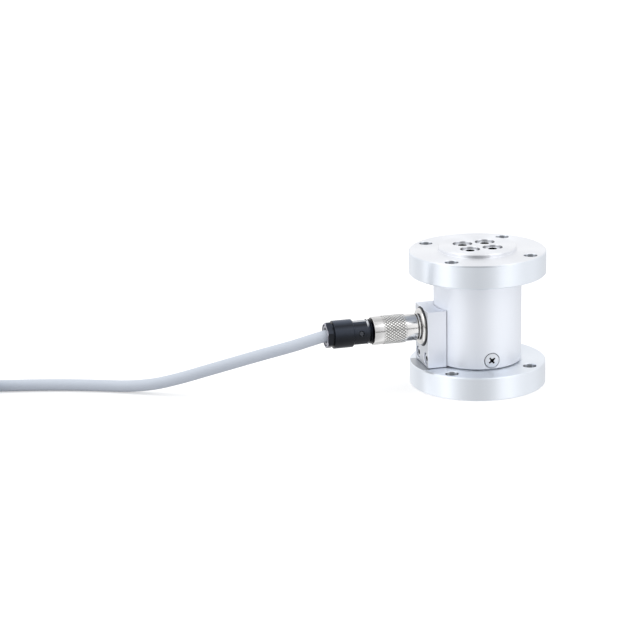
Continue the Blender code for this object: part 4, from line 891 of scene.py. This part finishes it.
def buildSleeve():
    size = sleeveSizes
    edge, root, rear = size.edge, size.knurlRoot, size.rearRadius
    profile = [
        *roundCorner((rear - edge, size.back - edge), edge, 90, 0, 3), (rear, size.knurlBack + size.rim),
        *square(root, size.knurlBack, size.knurlFront, size.frontRadius),
        *roundCorner((size.frontRadius - edge, size.front + edge), edge, 0, -90, 3),
        *square(size.bore, size.front, size.step, size.rearBore, size.back)]
    body = turnMesh(profile, 192, loop=True)
    piece = addPiece("locking_sleeve_turned", alongConnector(body), nickelMetal, "locking_sleeve")
    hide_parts("plug_sleeve")

    knurl = grow(knurlTree(), Around=size.around, Rows=size.rows, Radius=root - size.knurlSink,
                 Start=size.knurlFront, Length=size.knurlBack - size.knurlFront, Rise=size.knurlRadius - root,
                 Crest=size.crest, Material=knurlMetal)
    diamonds = addPiece("sleeve_knurl", alongConnector(knurl), knurlMetal, "locking_sleeve", sharp=10)


buildReceptacle()
buildSleeve()
print("receptacle and sleeve turned")


shellSizes = Settings(
    front=0.0571, neckFront=0.0580, shoulder=0.0583, plain=0.0605, grip=0.0671, step=0.0676, back=0.0774,
    tailEnd=0.0501, throatEnd=0.0586, ringRadius=0.0063, neckRadius=0.0049, plainRadius=0.0066,
    gripRadius=0.00715, tailRadius=0.0043, throat=0.0029, cavity=0.0049, thread=0.0056, rim=0.0001,
    edge=0.0003, roll=9, flat=0.00575, flatFront=0.0594, outside=0.0132, screwPlace=0.0031,
    screwHole=0.00145, holeFloor=0.0012, screwRadius=0.00115, screwSink=0.0003, screwEdge=0.00015,
    slotHalf=(0.002, 0.00025), slotDepth=0.0006)


def fromShell(mesh):
    # local +Z leaves the shell sideways, towards -Y
    size = shellSizes
    return moved(mesh, shift(-size.plain - size.screwPlace, 0, connectorHeight), spin("X", 90 - size.roll))


def buildShell():
    size = shellSizes
    edge, outside, waist = size.edge, size.outside, size.plainRadius - size.neckRadius
    profile = [*roundCorner((size.gripRadius - edge, size.back - edge), edge, 90, 0, 3),
               (size.gripRadius, size.step), (size.plainRadius, size.grip)]
    for turn in map(math.radians, range(90, -1, -10)):
        profile.append((size.neckRadius + waist * math.sin(turn),
                        size.shoulder + (size.plain - size.shoulder) * (1 - math.cos(turn))))
    profile += [
        (size.neckRadius, size.neckFront), *edgeRun(size.ringRadius, size.neckFront, size.front, size.rim),
        *square(size.tailRadius, size.front, size.tailEnd, size.throat, size.throatEnd),
        *square(size.cavity, size.plain, size.step, size.thread, size.back)]
    turned = alongConnector(turnMesh(profile, 160, loop=True), size.roll)
    cuts = [alongConnector(boxMesh((near, -outside, size.flatFront), (far, outside, size.grip)), size.roll)
            for near, far in ((size.flat, outside), (-outside, -size.flat))]
    cuts.append(fromShell(pinMesh(square(size.screwHole, outside, size.holeFloor), 64)))
    piece = addPiece("back_shell_moulded", shaped(turned, cuts), shellBlack, sharp=20)
    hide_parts("back_shell")

    top, radius = size.plainRadius - size.screwSink, size.screwRadius
    long, wide = size.slotHalf
    slot = boxMesh((-long, -wide, top - size.slotDepth), (long, wide, top + reach))
    screw = shaped(pinMesh([
        (radius - size.screwEdge, top), (radius, top - size.screwEdge), (radius, size.cavity)], 48), [slot])
    piece = addPiece("set_screw_turned", fromShell(screw), setScrewMetal)
    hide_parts("set_screw")


nutSizes = Settings(
    front=0.0777, rim=0.0784, back=0.0811, tailEnd=0.0730, radius=0.0067, acrossFlats=0.0121,
    grooveRadius=0.0056, tailRadius=0.0053, bore=0.0036, seat=0.0055, seatFloor=0.0790, edge=0.0004, roll=-4)
washerSizes = Settings(back=0.0809, front=0.0793, radius=0.0052, bore=0.0039, edge=0.00015, boreEdge=0.0002)


def buildNut():
    size = nutSizes
    profile = [
        (size.radius - size.edge, size.back),
        *square(size.radius, size.back - size.edge, size.rim, size.grooveRadius, size.front, size.tailRadius,
                size.tailEnd, size.bore, size.seatFloor, size.seat, size.back)]
    corner = size.acrossFlats / math.sqrt(3)
    hexagon = pinMesh(square(corner, size.back + reach, size.tailEnd - reach), 6)
    body = shaped(turnMesh(profile, 160, loop=True), [hexagon], "INTERSECT")
    piece = addPiece("clamp_nut_moulded", alongConnector(body, size.roll), shellBlack, sharp=24)
    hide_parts("clamp_nut")


def buildWasher():
    size = washerSizes
    washer = turnMesh([
        (size.radius - size.edge, size.back),
        *square(size.radius, size.back - size.edge, size.front, size.bore, size.back - size.boreEdge),
        (size.bore + size.boreEdge, size.back)], 128, loop=True)
    piece = addPiece("gland_washer_turned", alongConnector(washer), washerGrey)
    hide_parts("gland_washer")


buildShell()
buildNut()
buildWasher()
print("plug's back end built")


# the cable from the nut to the coil, then down to its bare end; steps: between points of the free stretches
cordLay = Settings(
    diameter=0.006, length=2.74,
    route=[(-0.0796, 0.0000, 0.0320), (-0.0845, 0.0001, 0.0310), (-0.0900, 0.0006, 0.0296),
           (-0.0970, 0.0018, 0.0276), (-0.1060, 0.0042, 0.0251), (-0.1170, 0.0084, 0.0216),
           (-0.1280, 0.0131, 0.0178), (-0.1395, 0.0187, 0.0136), (-0.1510, 0.0246, 0.0093),
           (-0.1620, 0.0303, 0.0058), (-0.1705, 0.0350, 0.0041), (-0.1790, 0.0396, 0.0032),
           (-0.1900, 0.0451, 0.0030), (-0.2070, 0.0520, 0.0030), (-0.2230, 0.0570, 0.0030),
           (-0.2400, 0.0617, 0.0030), (-0.2541, 0.0664, 0.0032)],
    landTurn=14, landOut=0.0014, landHeight=0.0036, steps=(0.0035, 0.005),
    coilCentre=(-0.289, 0.036), columns=(0.0405, 0.0345, 0.0285), rows=(0.004, 0.010, 0.016, 0.022),
    enter=70.7, leave=140.0, shift=60.0, bulge=0.0023, turnPoints=36,
    swing=(146, 152, 158, 164, 169), swingTurn=32, swingDrop=0.0005, tailRadius=0.0469,
    tail=[(172, 0.0215), (184, 0.0203), (196, 0.0175), (208, 0.0137), (220, 0.0096), (231, 0.0063),
          (241, 0.0043), (250, 0.0035)])


def eased(t):
    t = min(max(t, 0.0), 1.0)
    return t * t * (3 - 2 * t)


def smoothThrough(points, spacing, fineness=24):
    # a smooth curve through the points, read at an even spacing
    ghost = [2 * points[0] - points[1]] + points + [2 * points[-1] - points[-2]]
    fine = []
    for a, b, c, d in zip(ghost, ghost[1:], ghost[2:], ghost[3:]):
        for step in range(fineness):
            t = step / fineness
            fine.append(0.5 * (2 * b + (c - a) * t + (2 * a - 5 * b + 4 * c - d) * t ** 2
                               + (3 * b - a - 3 * c + d) * t ** 3))
    fine.append(points[-1])
    runs = [0.0]
    for a, b in zip(fine, fine[1:]):
        runs.append(runs[-1] + (b - a).length)
    count = max(2, round(runs[-1] / spacing))
    read, k = [], 0
    for n in range(count + 1):
        goal = runs[-1] * n / count
        while k < len(runs) - 2 and runs[k + 1] < goal:
            k += 1
        span = runs[k + 1] - runs[k]
        read.append(fine[k].lerp(fine[k + 1], (goal - runs[k]) / span if span else 0))
    return read


def coilSpot(angle, radius, height):
    return Vector((*polar(radius, angle, cordLay.coilCentre), height))


def cordPath():
    lay = cordLay
    outer, beside, seats = lay.columns[0], lay.tailRadius, []
    for row, height in enumerate(lay.rows):
        seats += [(radius, height) for radius in lay.columns[::-1 if row % 2 else 1]]
    lead = [Vector(spot) for spot in lay.route]
    lead.append(coilSpot(lay.enter - lay.landTurn, outer + lay.landOut, lay.landHeight))
    wound = []
    # the cord holds each seat for a little less than a turn, so that it never lies on itself
    turns = len(seats) - 1 + (lay.leave - lay.enter) / 360
    stay = turns / len(seats)
    for k in range(int(turns * lay.turnPoints) + 1):
        turn = k / lay.turnPoints
        seat = min(int(turn / stay), len(seats) - 1)
        radius, height = seats[seat]
        if seat + 1 < len(seats):
            toward, above = seats[seat + 1]
            share = eased((turn - (seat + 1) * stay) * 360 / lay.shift + 1)
            if above != height:     # the step up to the next layer swings clear of its neighbours
                side = 1 if radius == outer else -1
                radius += side * lay.bulge * math.sin(math.pi * share)
            else:
                radius += (toward - radius) * share
            height += (above - height) * share
        wound.append(coilSpot(lay.enter + 360 * turn, radius, height))
    tail = []
    for angle in lay.swing:
        share = eased((angle - lay.leave) / lay.swingTurn)
        tail.append(coilSpot(angle, outer + (beside - outer) * share, lay.rows[-1] - lay.swingDrop * share))
    tail += [coilSpot(angle, beside, height) for angle, height in lay.tail]
    freeStep, tailStep = lay.steps
    return smoothThrough(lead + wound[:1], freeStep)[:-1] + wound + smoothThrough(wound[-1:] + tail, tailStep)[1:]


def smoothCopy(node, material, sharp):
    # the CAD piece with its doubled points merged, so that it shades smoothly
    source = bpy.data.objects[node]
    bm = bmesh.new()
    bm.from_mesh(source.data)
    bm.transform(source.matrix_world)
    bmesh.ops.remove_doubles(bm, verts=bm.verts, dist=1e-6)
    piece = addPiece(node + "_smooth", closed(bm), material, sharp=sharp)
    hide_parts(node)
    return piece.name


def buildCord():
    path = cordPath()
    print("cord length", round(sum((b - a).length for a, b in zip(path, path[1:])), 4))
    curve = bpy.data.curves.new("sensor_cable", "CURVE")
    curve.dimensions = "3D"
    curve.bevel_depth, curve.bevel_resolution = cordLay.diameter / 2, 6
    curve.use_fill_caps = True
    spline = curve.splines.new("POLY")
    spline.points.add(len(path) - 1)
    for spot, point in zip(spline.points, path):
        spot.co = (*point, 1)
    spline.use_smooth = True
    curve.materials.append(sheathGrey)
    cable = linked("sensor_cable", curve)
    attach(cable, "sensor")
    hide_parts("cable", "cable_coil", "cable_tail")
    ends = [smoothCopy("coil_tie", tieBlack, 30), smoothCopy("end_sleeve", tieBlack, 60)]
    ends += [smoothCopy(f"end_lead_{number}", leadPlastic[colour], 70)
             for number, colour in enumerate(("red", "black", "green", "white"), 1)]


buildCord()
print("cord laid")


# the looks of the CAD pieces that stay as they are
carried = {
    "sensing_element": shaftMetal, "bridge_board": boardGreen, "lower_seal": sealRubber, "upper_seal": sealRubber,
    "receptacle_insert": insertBlack, "plug_insert": insertBlack, "plug_body": nickelMetal,
    "cable_bush": sealRubber, "cable_root": sheathGrey,
}
for number, colour in enumerate(("red", "green", "white", "black"), 1):
    carried[f"signal_wire_{number}"] = leadPlastic[colour]
    carried[f"strain_gauge_{number}"] = gaugeFoil
    carried[f"contact_pin_{number}"] = goldMetal
for node, material in carried.items():
    for slot in bpy.data.objects[node].material_slots:
        slot.material = material
print("carried pieces finished:", len(carried))
